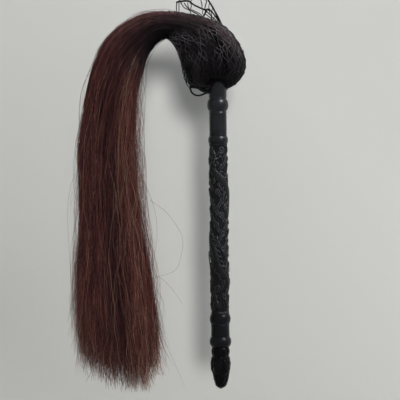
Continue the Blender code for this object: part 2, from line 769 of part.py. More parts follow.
def make_tail(hook):
    levels = ring_heights(SHOULDER_END_Z, (FALL_LENGTH, NAPE_LENGTH, UPPER_TAIL_LENGTH, WAIST_LENGTH))
    cuts = [ARC_END] + [station_at(z) for z in levels]
    swing = make_empty("swing_axis", plumb_axis(station(ARC_END)[0].z, levels[0]), hook)
    sway = make_empty("sway_axis", plumb_axis(levels[1], levels[2]), swing)
    curl = make_empty("curl_axis", plumb_axis(levels[3], levels[4]), sway)
    lengths = (
        ("hair_shoulder", 6, hook, DARK_HAIR),
        ("hair_fall", 3, swing, BROWN_HAIR),
        ("hair_nape", 3, swing, BROWN_HAIR),
        ("hair_tail_upper", 6, sway, BROWN_HAIR),
        ("hair_waist", 3, sway, BROWN_HAIR),
    )
    for (name, steps, parent, colour), first, last in zip(lengths, cuts, cuts[1:]):
        make_object(name, hair_length(first, last, steps), parent, colour, 0.5)
    make_object("hair_tail_lower", lower_tail(levels[4]), curl, BROWN_HAIR, 0.5)


def main():
    clear_scene()
    hook = make_empty("hook_point", (0, 0, 0))
    make_handle(hook)
    cavity_top = make_head(hook)
    make_net(hook, cavity_top)
    make_tail(hook)


main()
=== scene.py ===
"""Looks of the fly whisk: combed horsehair, hair net, turned and carved handle, round the fixed frame.

Metres, +Z up. The whisk hangs by the loop at the origin, and -Y is the side that faces the camera.
Tables of x and z along hair and threads are in tenths of a millimetre.
"""

import math

import bpy
import numpy as np
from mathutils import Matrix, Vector


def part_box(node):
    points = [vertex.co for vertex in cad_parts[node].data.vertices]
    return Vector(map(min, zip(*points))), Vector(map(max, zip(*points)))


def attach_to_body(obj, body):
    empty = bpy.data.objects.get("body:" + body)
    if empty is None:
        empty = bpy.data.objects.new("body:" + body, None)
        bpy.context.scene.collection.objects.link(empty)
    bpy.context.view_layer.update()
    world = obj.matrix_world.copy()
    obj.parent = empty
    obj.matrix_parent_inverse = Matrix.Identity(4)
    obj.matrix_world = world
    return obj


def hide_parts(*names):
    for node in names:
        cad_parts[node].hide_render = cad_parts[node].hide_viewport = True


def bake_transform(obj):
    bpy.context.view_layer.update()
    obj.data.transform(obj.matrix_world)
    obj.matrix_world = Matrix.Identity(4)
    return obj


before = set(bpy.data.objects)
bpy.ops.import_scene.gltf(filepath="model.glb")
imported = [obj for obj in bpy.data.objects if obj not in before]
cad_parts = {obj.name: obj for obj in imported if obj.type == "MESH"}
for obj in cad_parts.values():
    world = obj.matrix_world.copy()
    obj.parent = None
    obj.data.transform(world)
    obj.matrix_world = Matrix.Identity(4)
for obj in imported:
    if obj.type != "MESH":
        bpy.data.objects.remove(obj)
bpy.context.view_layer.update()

TAU = math.tau
TENTHS = 10000

# Camera: square to the wall, level with the middle of the whisk, turned a little with the photograph
CAMERA_AT = (-0.002, -1.6, -0.2872)
CAMERA_ROLL = math.radians(-0.67)
CAMERA_VIEW_WIDTH = 0.5
CAMERA_SENSOR = 36

# The hair's route, from the neck up through the bulb, over and down to the tips. Each station is
# x, z, lean in degrees (0 where the hair runs up, 90 to the left, 180 down), half width, half depth.
HAIR_STATIONS = np.array((
    (215, -1475, 0, 146, 146), (158, -1425, 2, 278, 240), (159, -1337, 2, 358, 290),
    (166, -1218, 1, 388, 312), (150, -1092, 1, 394, 315), (96, -952, 4, 382, 312),
    (16, -838, 10, 362, 302), (-74, -765, 18, 320, 285),
    (-179, -724, 29, 257, 268), (-287, -700, 48, 196, 252), (-399, -688, 75, 164, 242),
    (-520, -694, 102, 170, 235), (-642, -732, 121, 199, 230), (-778, -822, 136, 232, 225),
    (-892, -943, 147, 267, 220), (-978, -1095, 154, 295, 216), (-1039, -1266, 161, 302, 213),
    (-1091, -1447, 172, 308, 210), (-1125, -1647, 180, 316, 210), (-1179, -2246, 180, 347, 210),
    (-1148, -3071, 180, 370, 218), (-1098, -3847, 180, 454, 232), (-1058, -4486, 180, 469, 228),
    (-1020, -5240, 180, 440, 200),
)) / (TENTHS, TENTHS, 1, TENTHS, TENTHS)
LAST_STATION = len(HAIR_STATIONS) - 1
TAIL_FIRST_STATION = 17
FOOT_STATION = LAST_STATION - 0.02
END_STATION = LAST_STATION - 0.001
FOOT_X = HAIR_STATIONS[-1, 0]

# Where one length of hair is cut from the next
ARC_START, ARC_CUT_STATION = 9, 13.6
FALL_CUT_Z = -0.19
UPPER_TAIL_CUT_Z = -0.277

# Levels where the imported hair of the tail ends, and where its inner strands and its wisps may start
WAIST_MASS_END_Z = -0.432
INNER_TOP_Z = -0.385
WISP_TOP_Z = -0.395

# The tail's bends: the bodies above and below, and the levels where each starts and ends
BENDS = {
    "shoulder": ("handle", "hair_fall", -0.106, -0.188),
    "nape": ("hair_fall", "upper_tail", -0.192, -0.243),
    "waist": ("upper_tail", "lower_tail", -0.306, -0.384),
}

# Where the longest strands end, left to right: x and z
FRINGE = np.array((
    (-1540, -4740), (-1480, -4870), (-1294, -5070), (-1106, -5190), (-919, -5245), (-731, -5225),
    (-644, -5120), (-580, -5020),
)) / TENTHS
LOWEST_TIP_Z = -0.5245

# Strands
SURFACE_STRANDS, INNER_STRANDS, WISPS = 2000, 1100, 800
STRAND_RADIUS = 0.00023
LOCKS = 64
TUFTS = 170
MASS_SHARE = 0.9
MASS_SIDES = 72

# The bulb's mean radius, and the creases between its locks: degrees round it, depth, half width in radians
BULB_RADIUS = 0.037
CREASES = (
    (-67, 0.0092, 0.15), (-18, 0.003, 0.1), (62, 0.0034, 0.12), (150, 0.0034, 0.12), (212, 0.003, 0.12),
)
FLUTES, FLUTE_DEPTH = 9, 0.03

# Places where the net draws the bulb in: degrees round it, station, depth, half width, half length
DENTS = ((15, 6.4, 0.0024, 0.7, 1.1), (186, 2.3, 0.006, 0.55, 1))

# The bulb's lower edge is drawn in at the front, up to this station
TUCK_ANGLE = math.radians(-74)
TUCK_STATION, TUCK_DEPTH = 1.35, 0.62

# Hairs bend back before they reach this far left
LEFT_EASE_X, LEFT_LIMIT_X = -0.158, -0.17

# Handle axis, the radii that the neck and the bores have, and the glue gaps
HANDLE_X = 0.0215
NECK_RADIUS = 0.01105
BORE_RADIUS = 0.0043
CORE_NECK_RADIUS = 0.0118
POINT_RADIUS = 0.0002
GAP = 0.0003

# Net
NET_CELLS, NET_ROWS, NET_SUBSTEPS = 36, 16, 4
NET_LIFT = 0.0011
NET_THREAD = 0.00018
NET_NECK_STATION = 0.3
RIM_CORD_Z = -0.1492
CORD_RADIUS = 0.0008

# Handle
TURNED_SIDES = 128
BEAD_FOOT = 0.0012
GRIP_RADIUS, GRIP_GROUND = 0.0115, 0.0103

# Tiers of the bud: petals, shift round it, levels of their sides and tips, thickness
PETALS = ((5, 0.1, 0.36, 0.54, 0.0029), (5, 0.6, 0.62, 0.93, 0.0013))

# The dragon on the grip: where it starts and ends down the grip, the angle that it starts at, the lengths
# of its turn and its sway, its half widths along it, and the lengths of its scales, plates and spines
DRAGON_TOP_S, DRAGON_END_S = 0.034, 0.186
DRAGON_ANGLE = math.radians(-128)
DRAGON_PITCH, DRAGON_SWAY = 0.104, 0.071
BODY_WIDTHS = 0.0042, 0.0054, 0.006, 0.0058, 0.005, 0.0036, 0.0014
SCALE_LENGTH, PLATE_LENGTH, SPINE_LENGTH = 0.0026, 0.0021, 0.0034

# Clouds on the grip: rows down it, scrolls in each, level of the first row and distance between rows
CLOUD_ROWS, CLOUD_COLUMNS = 20, 5
CLOUD_FIRST_S, CLOUD_STEP = 0.008, 0.0102

# Swellings of the grip: degrees round it, place down it, half length and height; all are equally wide
SWELLING_WIDTH = 0.009
SWELLINGS = (
    (180, 0.051, 0.012, 0.001), (0, 0.06, 0.014, 0.0007), (0, 0.1025, 0.009, 0.0009),
    (180, 0.173, 0.007, 0.001), (0, 0.168, 0.016, 0.0008), (180, 0.128, 0.01, 0.0005),
    (0, 0.02, 0.006, 0.0006), (180, 0.022, 0.005, 0.0007),
)


# Meshes from arrays of points


def metres(table):
    """Nested rows of tenths of a millimetre, as metres."""
    return tuple(map(metres, table)) if isinstance(table, tuple) else table / TENTHS


def mesh_piece(name, points, quads, triangles, material, uv=None, floats=None, flat=None):
    """A mesh object from arrays. uv and floats have a value per point; flat marks the flat faces."""
    points = np.asarray(points, np.float32).reshape(-1, 3)
    quads = np.asarray(quads, np.int32).reshape(-1, 4)
    triangles = np.asarray(triangles, np.int32).reshape(-1, 3)
    corners = np.concatenate([quads.ravel(), triangles.ravel()])
    sizes = np.repeat(np.array((4, 3), np.int32), (len(quads), len(triangles)))
    starts = (np.cumsum(sizes) - sizes).astype(np.int32)
    mesh = bpy.data.meshes.new(name)
    for part, count, rows in (
        (mesh.vertices, len(points), {"co": points.ravel()}),
        (mesh.loops, len(corners), {"vertex_index": corners}),
        (mesh.polygons, len(sizes), {"loop_start": starts, "loop_total": sizes}),
    ):
        part.add(count)
        for key, values in rows.items():
            part.foreach_set(key, values)
    mesh.update(calc_edges=True)
    floats = {key: np.asarray(values, np.float32) for key, values in (floats or {}).items()}
    layers = [(key, "FLOAT", "POINT", values) for key, values in floats.items()]
    if flat is not None:
        edges = np.zeros(len(corners), np.int32)
        mesh.loops.foreach_get("edge_index", edges)
        sharp = np.zeros(len(mesh.edges), bool)
        sharp[edges[np.repeat(flat, sizes)]] = True
        layers = [("sharp_face", "BOOLEAN", "FACE", flat), ("sharp_edge", "BOOLEAN", "EDGE", sharp), *layers]
    if uv is not None:
        layer = mesh.uv_layers.new(name="OFBake")
        layer.uv.foreach_set("vector", np.asarray(uv, np.float32)[corners].ravel())
    for key, kind, domain, values in layers:
        mesh.attributes.new(key, kind, domain).data.foreach_set("value", values.ravel())
    mesh.validate()
    mesh.materials.append(material)
    piece = bpy.data.objects.new(name, mesh)
    bpy.context.scene.collection.objects.link(piece)
    return piece


def attach(piece, place, slot, *nodes):
    """Rides a piece on a body, or for a bend leaves it in place with its transform baked, and hides the nodes
    that it replaces. The slot is not used.
    """
    if place in BENDS:
        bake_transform(piece)
    else:
        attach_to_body(piece, place)
    if nodes:
        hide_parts(*nodes)


def clamp(values):
    return np.clip(values, 0, 1)


def unit(vectors):
    return vectors / np.maximum(np.linalg.norm(vectors, axis=-1, keepdims=True), 1e-12)


def side_quads(index, axis=1):
    """Quads between each ring of an index array and the next ring, all round both."""
    here, ahead = np.delete(index, -1, axis - 1), np.delete(index, 0, axis - 1)
    return np.stack([here, np.roll(here, -1, axis), np.roll(ahead, -1, axis), ahead], -1).reshape(-1, 4)


def ring_uv(rings, sides):
    across, down = np.meshgrid(np.arange(sides) / sides, np.linspace(0, 1, rings))
    return np.stack([across, down], -1).reshape(-1, 2)


def tube_rings(centres, radii, reference, sides, tangents=None):
    """Rings of points round centre lines: arrays of line, ring, side and coordinate."""
    ahead = unit(np.gradient(centres, axis=1) if tangents is None else tangents)
    side = unit(np.cross(ahead, reference))
    up = np.cross(side, ahead)
    turn = np.arange(sides) * TAU / sides
    round_up = up[..., None, :] * np.cos(turn)[:, None]
    round_side = side[..., None, :] * np.sin(turn)[:, None]
    return centres[..., None, :] + radii[..., None, None] * (round_up + round_side)


def tubes(name, rings, material, floats=None):
    """Closed tubes, one for each line of rings. floats hold one value per line and ring."""
    lines, steps, sides, _ = rings.shape
    index = np.arange(lines * steps * sides).reshape(lines, steps, sides)
    quads, triangles = side_quads(index, 2), []
    body = len(quads)
    caps = index[:, 0, ::-1], index[:, -1]
    if sides == 4:
        quads = np.concatenate([quads, *caps])
    else:
        triangles = np.concatenate([ends[:, [0, k, k + 1]] for ends in caps for k in range(1, sides - 1)])
    flat = np.arange(len(quads) + len(triangles)) >= body
    column = (np.arange(lines)[:, None, None] + 0.15 + 0.7 * np.arange(sides) / max(sides - 1, 1)) / lines
    along = np.arange(steps)[None, :, None] / (steps - 1)
    uv = np.stack(np.broadcast_arrays(column, along), -1).reshape(-1, 2)
    values = {
        key: np.repeat(np.broadcast_to(value, (lines, steps))[..., None], sides, -1)
        for key, value in (floats or {}).items()
    }
    return mesh_piece(name, rings, quads, triangles, material, uv, values, flat)


def loft(name, points, material, floats=None):
    """Closed skin over rings of points, with a middle point at each end."""
    rings, sides, _ = points.shape
    index = np.arange(rings * sides).reshape(rings, sides)
    quads = side_quads(index)
    low, high = index[0], index[-1]
    triangles = np.concatenate([
        np.stack([np.roll(low, -1), low, np.full(sides, index.size)], -1),
        np.stack([high, np.roll(high, -1), np.full(sides, index.size + 1)], -1),
    ])
    points = np.concatenate([points.reshape(-1, 3), [points[0].mean(0), points[-1].mean(0)]])
    uv = np.concatenate([ring_uv(rings, sides), [[0.5, 0], [0.5, 1]]])
    values = {
        key: np.concatenate([np.ravel(value), [np.ravel(value)[0]] * 2])
        for key, value in (floats or {}).items()
    }
    flat = np.arange(len(quads) + len(triangles)) >= len(quads)
    return mesh_piece(name, points, quads, triangles, material, uv, values, flat)


def cord_rings(points, radius, sides=6, reference=(0, 1, 0)):
    """Rings for one tube along points."""
    points = np.asarray(points, float)[None]
    reference = np.broadcast_to(np.array(reference, float), points.shape)
    radii = np.broadcast_to(np.asarray(radius, float), points.shape[:2])
    return tube_rings(points, radii, reference, sides)


def curve(a, b, c, d, f):
    """Smooth curve from b to c that heads from a and to d."""
    bend = (c - a) * f + (2 * a - 5 * b + 4 * c - d) * f**2 + (3 * b - a - 3 * c + d) * f**3
    return 0.5 * (2 * b + bend)


def smooth_route(route, per_span=6):
    """Points of a smooth curve through a route's points."""
    spots = np.asarray(route, float)
    spots = np.vstack([2 * spots[0] - spots[1], spots, 2 * spots[-1] - spots[-2]])
    f = (np.arange(per_span) / per_span)[:, None]
    spans = [curve(*four, f) for four in zip(spots, spots[1:], spots[2:], spots[3:])]
    return np.vstack(spans + [spots[-2:-1]])


def resampled(line, count, at=None):
    """The same line with count points, spread evenly over its points or over their places at."""
    at = np.arange(len(line)) if at is None else at
    fine = np.linspace(0, at[-1], count)
    return np.stack([np.interp(fine, at, line[:, k]) for k in range(3)], -1)


# Materials


class Look:
    """A material's node tree that ends in its Principled shader."""

    def __init__(self, name, roughness, specular):
        self.material = bpy.data.materials.new(name)
        self.material.use_nodes = True
        self.tree = self.material.node_tree
        self.shader = self.tree.nodes["Principled BSDF"]
        self.plug(self.shader, {"Roughness": roughness, "Specular IOR Level": specular})

    def plug(self, node, inputs):
        """Links each input of a node to a socket, or sets its constant."""
        for key, value in inputs.items():
            socket = node.inputs[key]
            if isinstance(value, bpy.types.NodeSocket):
                self.tree.links.new(value, socket)
            elif isinstance(value, tuple):
                socket.default_value = (*value, 1)[:len(socket.default_value)]
            else:
                socket.default_value = value

    def node(self, kind, inputs=None, **settings):
        made = self.tree.nodes.new("ShaderNode" + kind)
        for key, value in settings.items():
            setattr(made, key, value)
        self.plug(made, inputs or {})
        return made

    def drive(self, socket, value):
        self.plug(self.shader, {socket: value})

    def attribute(self, name):
        return self.node("Attribute", attribute_name=name).outputs["Fac"]

    def place(self, scale=(1, 1, 1)):
        coordinates = self.node("TexCoord").outputs["Object"]
        return self.node("Mapping", {"Vector": coordinates, "Scale": scale}).outputs["Vector"]

    def axes(self):
        return self.node("SeparateXYZ", {"Vector": self.place()}).outputs

    def noise(self, scale, stretch=(1, 1, 1), detail=3):
        inputs = {"Vector": self.place(stretch), "Scale": scale, "Detail": detail}
        return self.node("TexNoise", inputs).outputs["Fac"]

    def maths(self, operation, first, second=0, third=0):
        return self.node("Math", {0: first, 1: second, 2: third}, operation=operation).outputs["Value"]

    def line(self, value, slope, start):
        """slope * value + start."""
        return self.maths("MULTIPLY_ADD", value, slope, start)

    def ramp(self, factor, *stops):
        """Colours or shares between places of a factor."""
        made = self.node("ValToRGB", {"Fac": factor})
        elements = made.color_ramp.elements
        while len(elements) < len(stops):
            elements.new(0.5)
        for element, (place, colour) in zip(elements, stops):
            element.position = place
            element.color = (*(colour if isinstance(colour, tuple) else (colour,) * 3), 1)
        return made.outputs["Color"]

    def mix(self, factor, first, second):
        made = self.node("Mix", data_type="RGBA")
        self.plug(made, {0: factor, 6: first, 7: second})
        return made.outputs[2]

    def bump(self, height, strength, distance):
        made = self.node("Bump", {"Height": height, "Strength": strength, "Distance": distance})
        self.drive("Normal", made.outputs["Normal"])


def hair_material():
    """Horsehair: near black at the root and brown to chestnut along the tail, each strand its own tone. The
    black held on the inside of the bend is partly painted shade, and a pale lilac-grey on the outside of the
    bend is a painted sheen.
    """
    look = Look("horsehair", 0.42, 0.11)
    flecks = look.noise(160, (1, 1, 0.25))
    shade = look.line(look.maths("SUBTRACT", flecks, 0.5), 0.5, look.attribute("tone"))
    chestnut = look.ramp(
        shade, (0.02, (0.018, 0.0082, 0.0115)), (0.34, (0.052, 0.0207, 0.0225)),
        (0.62, (0.111, 0.038, 0.032)), (0.84, (0.178, 0.067, 0.05)), (0.97, (0.275, 0.185, 0.128)),
    )
    black = look.ramp(
        shade, (0.03, (0.005, 0.0042, 0.0056)), (0.6, (0.017, 0.0142, 0.0165)), (0.95, (0.062, 0.052, 0.056)),
    )
    # The black mix holds black roots, and on the inside of the bend also painted shade.
    plain = look.mix(look.attribute("root"), chestnut, black)
    # Painted sheen: a pale lilac-grey mixed in on the outside of the bend, where the hair faces the light.
    arc_sheen_share = look.maths("MULTIPLY", look.attribute("arc_sheen"), look.line(shade, 1.5, -0.05))
    look.drive("Base Color", look.mix(arc_sheen_share, plain, (0.148, 0.088, 0.095)))
    look.drive("Roughness", look.line(shade, 0.22, 0.34))
    return look.material


def mass_material():
    """Packed hair under the strands: dark as painted shade deep in the hair, with streaks that run along it.
    """
    look = Look("packed_hair_shaded", 0.75, 0.15)
    streaks = look.noise(90, (1, 1, 0.06))
    brown = look.ramp(streaks, (0.3, (0.0035, 0.0024, 0.0024)), (0.7, (0.012, 0.0065, 0.0055)))
    look.drive("Base Color", brown)
    look.bump(streaks, 0.6, 0.0008)
    return look.material


def net_material():
    """Twisted nylon thread, black with a grey sheen."""
    look = Look("net_thread", 0.38, 0.14)
    fibres = look.noise(900)
    black = look.ramp(fibres, (0.35, (0.003, 0.003, 0.0035)), (0.7, (0.009, 0.0085, 0.0095)))
    look.drive("Base Color", black)
    look.drive("Roughness", look.line(fibres, 0.3, 0.25))
    look.bump(fibres, 0.5, 0.0002)
    return look.material


def web_material():
    """The same thread where it is stretched over the bulb: finer, and greyer in patches over the top of the
    bulb, where the grey is a painted sheen.
    """
    look = Look("net_web", 0.4, 0.3)
    fibres = look.noise(700)
    dark = look.ramp(fibres, (0.3, (0.006, 0.006, 0.007)), (0.75, (0.014, 0.013, 0.015)))
    grey = look.ramp(fibres, (0.3, (0.095, 0.088, 0.097)), (0.75, (0.21, 0.196, 0.212)))
    patches = look.ramp(look.noise(75, detail=4), (0.39, 0), (0.6, 1))
    # Painted sheen: the grey colour laid in patches where the grey attribute is high, on top of the bulb.
    look.drive("Base Color", look.mix(look.maths("MULTIPLY", patches, look.attribute("grey")), dark, grey))
    look.drive("Roughness", look.line(fibres, 0.25, 0.3))
    return look.material


def lacquer_material(name, carved, specular, dark=1):
    """Black lacquered hardwood: soft sheen and brushed grain. Carved pieces get lighter crests, partly rubbed
    lacquer and partly painted highlight, and painted shade towards the bottom of the handle; dark paints
    shade into whole lower pieces.
    """
    # dark scales these colours down for the lower pieces of the handle: painted shade, as if the light fell
    # from above.
    def darkened_for_shade(*colour):
        return tuple(dark * part for part in colour)

    look = Look(name, 0.4, specular)
    grain = look.noise(420, (1, 1, 0.05), 4)
    clouds = look.noise(38)
    ground = look.ramp(clouds, (0.3, darkened_for_shade(0.0032, 0.0033, 0.0044)), (0.72, darkened_for_shade(0.0085, 0.0097, 0.0132)))
    if carved:
        # Crests lighter: partly rubbed lacquer, partly painted highlight.
        wear_and_highlight = look.ramp(look.attribute("wear_and_highlight"), (0.5, 0), (1, 1))
        ground = look.mix(wear_and_highlight, ground, darkened_for_shade(0.056, 0.0555, 0.058))
        # Painted shade: the carved pieces grow darker towards the bottom of the handle.
        lower_shade = look.ramp(look.line(look.axes()["Z"], 7, 3.1), (0, 0.2), (1, 1))
        ground = look.mix(lower_shade, darkened_for_shade(0.0026, 0.0026, 0.0032), ground)
    look.drive("Base Color", ground)
    look.drive("Roughness", look.line(grain, 0.08, look.line(clouds, 0.16, 0.19 if carved else 0.22)))
    look.bump(grain, 0.35, 0.00025)
    return look.material


def bare_wood_material():
    look = Look("bare_wood", 0.6, 0.3)
    grain = look.noise(260, (1, 1, 0.08), 4)
    look.drive("Base Color", look.ramp(
        grain, (0.3, (0.115, 0.058, 0.03)), (0.55, (0.205, 0.112, 0.058)), (0.8, (0.27, 0.16, 0.09)),
    ))
    look.bump(grain, 0.4, 0.0003)
    return look.material


def wall_material():
    """Matt pale paint, faintly uneven, with painted shade darkening it towards the lower left. Seen from
    behind it lets the view through.
    """
    look = Look("pale_wall", 0.85, 0.2)
    patches = look.noise(1.3, detail=2)
    paint = look.ramp(patches, (0.25, (0.358, 0.362, 0.351)), (0.75, (0.375, 0.378, 0.367)))
    shaded = look.ramp(patches, (0.25, (0.258, 0.261, 0.247)), (0.75, (0.271, 0.274, 0.26)))
    axes = look.axes()
    # Painted light and shade: the wall paler towards the upper right and darker towards the lower left.
    upper_right = look.maths("ADD", look.line(axes["X"], 1.3, 0.31), look.line(axes["Z"], 1.3, 0.68))
    light = look.ramp(upper_right, (0, 0), (1, 1))
    on_floor = look.ramp(look.line(axes["Z"], -3.5, -2.45), (0, 0), (1, 1))
    wall = look.mix(light, shaded, paint)
    look.drive("Base Color", look.mix(on_floor, wall, (0.5, 0.504, 0.492)))
    look.bump(look.noise(420), 0.05, 0.0004)
    clear = look.node("BsdfTransparent").outputs["BSDF"]
    behind = look.node("NewGeometry").outputs["Backfacing"]
    both = look.node("MixShader", {0: behind, 1: look.shader.outputs["BSDF"], 2: clear})
    look.plug(look.tree.nodes["Material Output"], {"Surface": both.outputs["Shader"]})
    return look.material


# The hair's route


def hair_frame(t):
    """Centre, outward direction, half width and half depth of the hair at station numbers t."""
    t = np.asarray(t, float)
    i = np.clip(t.astype(int), 0, LAST_STATION - 1)
    near = (HAIR_STATIONS[np.clip(i + k, 0, LAST_STATION)] for k in (-1, 0, 1, 2))
    rows = curve(*near, (t - i)[..., None])
    lean = np.radians(rows[..., 2])
    none = np.zeros_like(lean)
    centre = np.stack([rows[..., 0], none, rows[..., 1]], -1)
    outward = np.stack([np.cos(lean), none, np.sin(lean)], -1)
    return centre, outward, rows[..., 3], rows[..., 4]


ROUTE_T = np.linspace(0, LAST_STATION, 600)
ROUTE_CENTRE = hair_frame(ROUTE_T)[0]
ROUTE_LENGTH = np.concatenate([[0], np.cumsum(np.linalg.norm(np.diff(ROUTE_CENTRE, axis=0), axis=1))])


def length_at(t):
    return np.interp(t, ROUTE_T, ROUTE_LENGTH)


def tail_station(z):
    """Station number where the hanging tail passes a level."""
    hanging = ROUTE_T >= TAIL_FIRST_STATION
    return np.interp(-np.asarray(z, float), -ROUTE_CENTRE[hanging][:, 2], ROUTE_T[hanging])


def turn_from(direction, angle):
    """Signed turn from a direction to an angle, at most half a turn."""
    return np.angle(np.exp(1j * (angle - direction)))


def hem(angle):
    """Station where the folded hair starts: it is drawn up at the front, where the sleeve shows."""
    return TUCK_STATION * np.exp(-((turn_from(TUCK_ANGLE, angle) / 0.84) ** 4))


def tuck(angle, t):
    """Share of the radius that the draw-in at the front of the neck leaves."""
    return 1 - TUCK_DEPTH * np.exp(-((turn_from(TUCK_ANGLE, angle) / 0.8) ** 4) - ((t - 1) / 0.75) ** 2)


def hair_surface(angle, t):
    """Share of the full radius at an angle round the hair: flutes along it, creases in the bulb."""
    wave = np.sin(FLUTES * angle + 0.8 * t) + 0.5 * np.sin((2 * FLUTES + 1) * angle - 0.5 * t)
    share = 1 - FLUTE_DEPTH * (0.5 + wave / 3)
    grip = clamp(t / 2) * clamp((7.2 - t) / 2.6)
    for degrees, depth, spread in CREASES:
        off = turn_from(math.radians(degrees), angle)
        share = share - grip * depth / BULB_RADIUS * np.exp(-((off / spread) ** 2))
    for degrees, level, depth, spread, reach in DENTS:
        off = turn_from(math.radians(degrees), angle)
        share = share - depth / BULB_RADIUS * np.exp(-((off / spread) ** 2) - ((t - level) / reach) ** 2)
    return share * tuck(angle, t)


def hair_spot(t, angle, share, lift=0):
    """Point at an angle round the hair's centre line, at a share of its radius and a lift above that."""
    centre, outward, half_width, half_depth = hair_frame(t)
    across = outward * ((share * half_width + lift) * np.cos(angle))[..., None]
    deep = (share * half_depth + lift) * np.sin(angle)
    return centre + across + np.stack([np.zeros_like(deep), deep, np.zeros_like(deep)], -1)


def hold_left(points):
    """Bends hairs back before they pass the left limit."""
    over = np.maximum(LEFT_EASE_X - points[..., 0], 0) / (LEFT_EASE_X - LEFT_LIMIT_X)
    points[..., 0] = np.maximum(points[..., 0], LEFT_EASE_X) + (LEFT_LIMIT_X - LEFT_EASE_X) * np.tanh(over)
    return points


# Strands


def comb(count, low_share, high_share, seed):
    """Strands spread evenly round the hair, each with its place, waves, tone and thickness."""
    chance = np.random.default_rng(seed)
    angle = TAU * (np.arange(count) + chance.random(count)) / count
    lock_angles = np.sort(TAU * (np.arange(LOCKS) + 0.8 * chance.random(LOCKS)) / LOCKS)
    lock_tones = chance.random(LOCKS)
    lock = np.searchsorted(lock_angles, angle) % LOCKS
    broad = 0.07 * np.sin(3 * angle + 2.2) + 0.05 * np.sin(7 * angle)
    tone = 0.37 + broad + 0.26 * (lock_tones[lock] - 0.5) + 0.62 * (chance.random(count) - 0.5)
    pale = chance.random(count) > 0.982
    tone = np.where(pale, 0.98, np.clip(tone, 0.03, 0.84))
    share = low_share + (high_share - low_share) * chance.random(count) ** 0.75
    crossing = chance.random(count) > 0.88
    loose = chance.gamma(1.7, 0.0018, count) * (chance.random(count) > 0.68)
    thick = 0.8 + 0.45 * chance.random(count)
    hair = {
        "angle": angle,
        "to_lock": turn_from(angle, lock_angles[lock]),
        "share": np.where(crossing, high_share + 0.02, share),
        "drift": np.where(crossing, chance.normal(0.62, 0.28, count), chance.normal(0, 0.05, count)),
        "loose": loose,
        "tone": np.clip(tone + 0.22 * (loose > 0.0035) + 0.1 * crossing, 0.03, 0.98),
        "radius": STRAND_RADIUS * thick * np.where(pale | (loose > 0), 0.62, 1),
    }
    hair = {key: value[:, None] for key, value in hair.items()}
    hair["phase"] = chance.uniform(0, TAU, (count, 8))
    hair["tip"] = chance.random((count, 4))
    hair["fray"] = chance.normal(0, 1, (count, 3))
    return hair


def strand_points(hair, t):
    """Places of every strand at station numbers t, one row per strand."""
    s = length_at(t)

    def wave(size, length, k):
        return size * np.sin(TAU * s / length + hair["phase"][:, k : k + 1])

    def edge(outside, middle, reach):
        return np.clip(outside - 0.4, 0, 0.6) * np.exp(-(((s - middle) / reach) ** 2))

    angle = hair["angle"] + wave(0.12, 0.33, 0) + wave(0.05, 0.131, 1) + wave(0.014, 0.043, 2)
    angle = angle + hair["to_lock"] * np.clip((s - 0.12) / 0.25, 0, 0.45)
    angle = angle + hair["drift"] * np.clip((s - 0.14) / 0.2, 0, 1.6)
    share = (hair["share"] + wave(0.024, 0.205, 3) + wave(0.01, 0.067, 4)) * hair_surface(angle, t)
    sway = 0.5 + wave(0.38, 0.27, 6) + wave(0.2, 0.071, 7)
    calm = np.interp(t, (8.6, 11, 15, 19), (0.3, 0.38, 0.42, 1))
    edges = 1 + 6 * edge(-np.cos(angle), 0.35, 0.11) + 4 * edge(np.cos(angle), 0.49, 0.1)
    lift = clamp((t - 8.6) / 2) * (hair["loose"] * sway * calm * edges)
    return hold_left(hair_spot(t, angle, share, np.minimum(lift, 0.0125)))


def strand_root_and_inner_shade(hair, t):
    """How black each strand still is: its black root browns along the hair, soonest on the outside of the
    bend; the black kept longer on the inside of the bend is partly painted shade.
    """
    s = length_at(t)
    early = 0.062 * (hair["tip"][:, 3:4] - 0.3)
    shade = 1 - (s - 0.136 + 0.054 * np.cos(hair["angle"]) + early) / 0.064
    return clamp(shade + 0.26 * np.sin(TAU * s / 0.09 + hair["phase"][:, 5:6]))


def strand_piece(name, hair, t, material, points=None, thickness=1, fade=0):
    """One mesh of every strand between stations. Its end rings match those of the next length."""
    t = np.broadcast_to(t, (len(hair["angle"]), np.shape(t)[-1]))
    tangents = None
    if points is None:
        points = strand_points(hair, t)
        tangents = strand_points(hair, t + 0.004) - strand_points(hair, t - 0.004)
    radii = np.broadcast_to(hair["radius"], t.shape) * thickness
    rings = tube_rings(points, radii, unit(points - hair_frame(t)[0]), 3, tangents)
    leftward = np.cos(hair["angle"])
    # Painted light: the tail's left and right sides lighter in tone.
    edge = np.where(leftward > 0, 0.05, 0.08) * np.abs(leftward) ** 3 * clamp((t - 13) / 4)
    # Painted shade: strands in the creases and in the tuck at the front of the neck darkened.
    crease = np.clip((hair_surface(hair["angle"] + 0 * t, t) - 0.86) / 0.1, 0.05, 1)
    # Painted shade: strands on the inside of the bend darkened through the bulb and the arc.
    hollow = 1 - 0.85 * clamp(0.1 - leftward) * np.interp(t, (6, 9, 12.5, 15), (0, 1, 1, 0))
    # Painted sheen on the outside of the bend through the bulb and the arc, less in the creases.
    arc_sheen = clamp(0.34 + 0.6 * leftward) * np.interp(t, (3.8, 6, 12, 15.5), (0, 1, 0.6, 0))
    return tubes(name, rings, material, {
        "tone": (hair["tone"] + edge) * crease * hollow + fade,
        "root": strand_root_and_inner_shade(hair, t),
        "arc_sheen": arc_sheen * crease,
    })


def fringe_z(x):
    return np.interp(x, FRINGE[:, 0], FRINGE[:, 1])


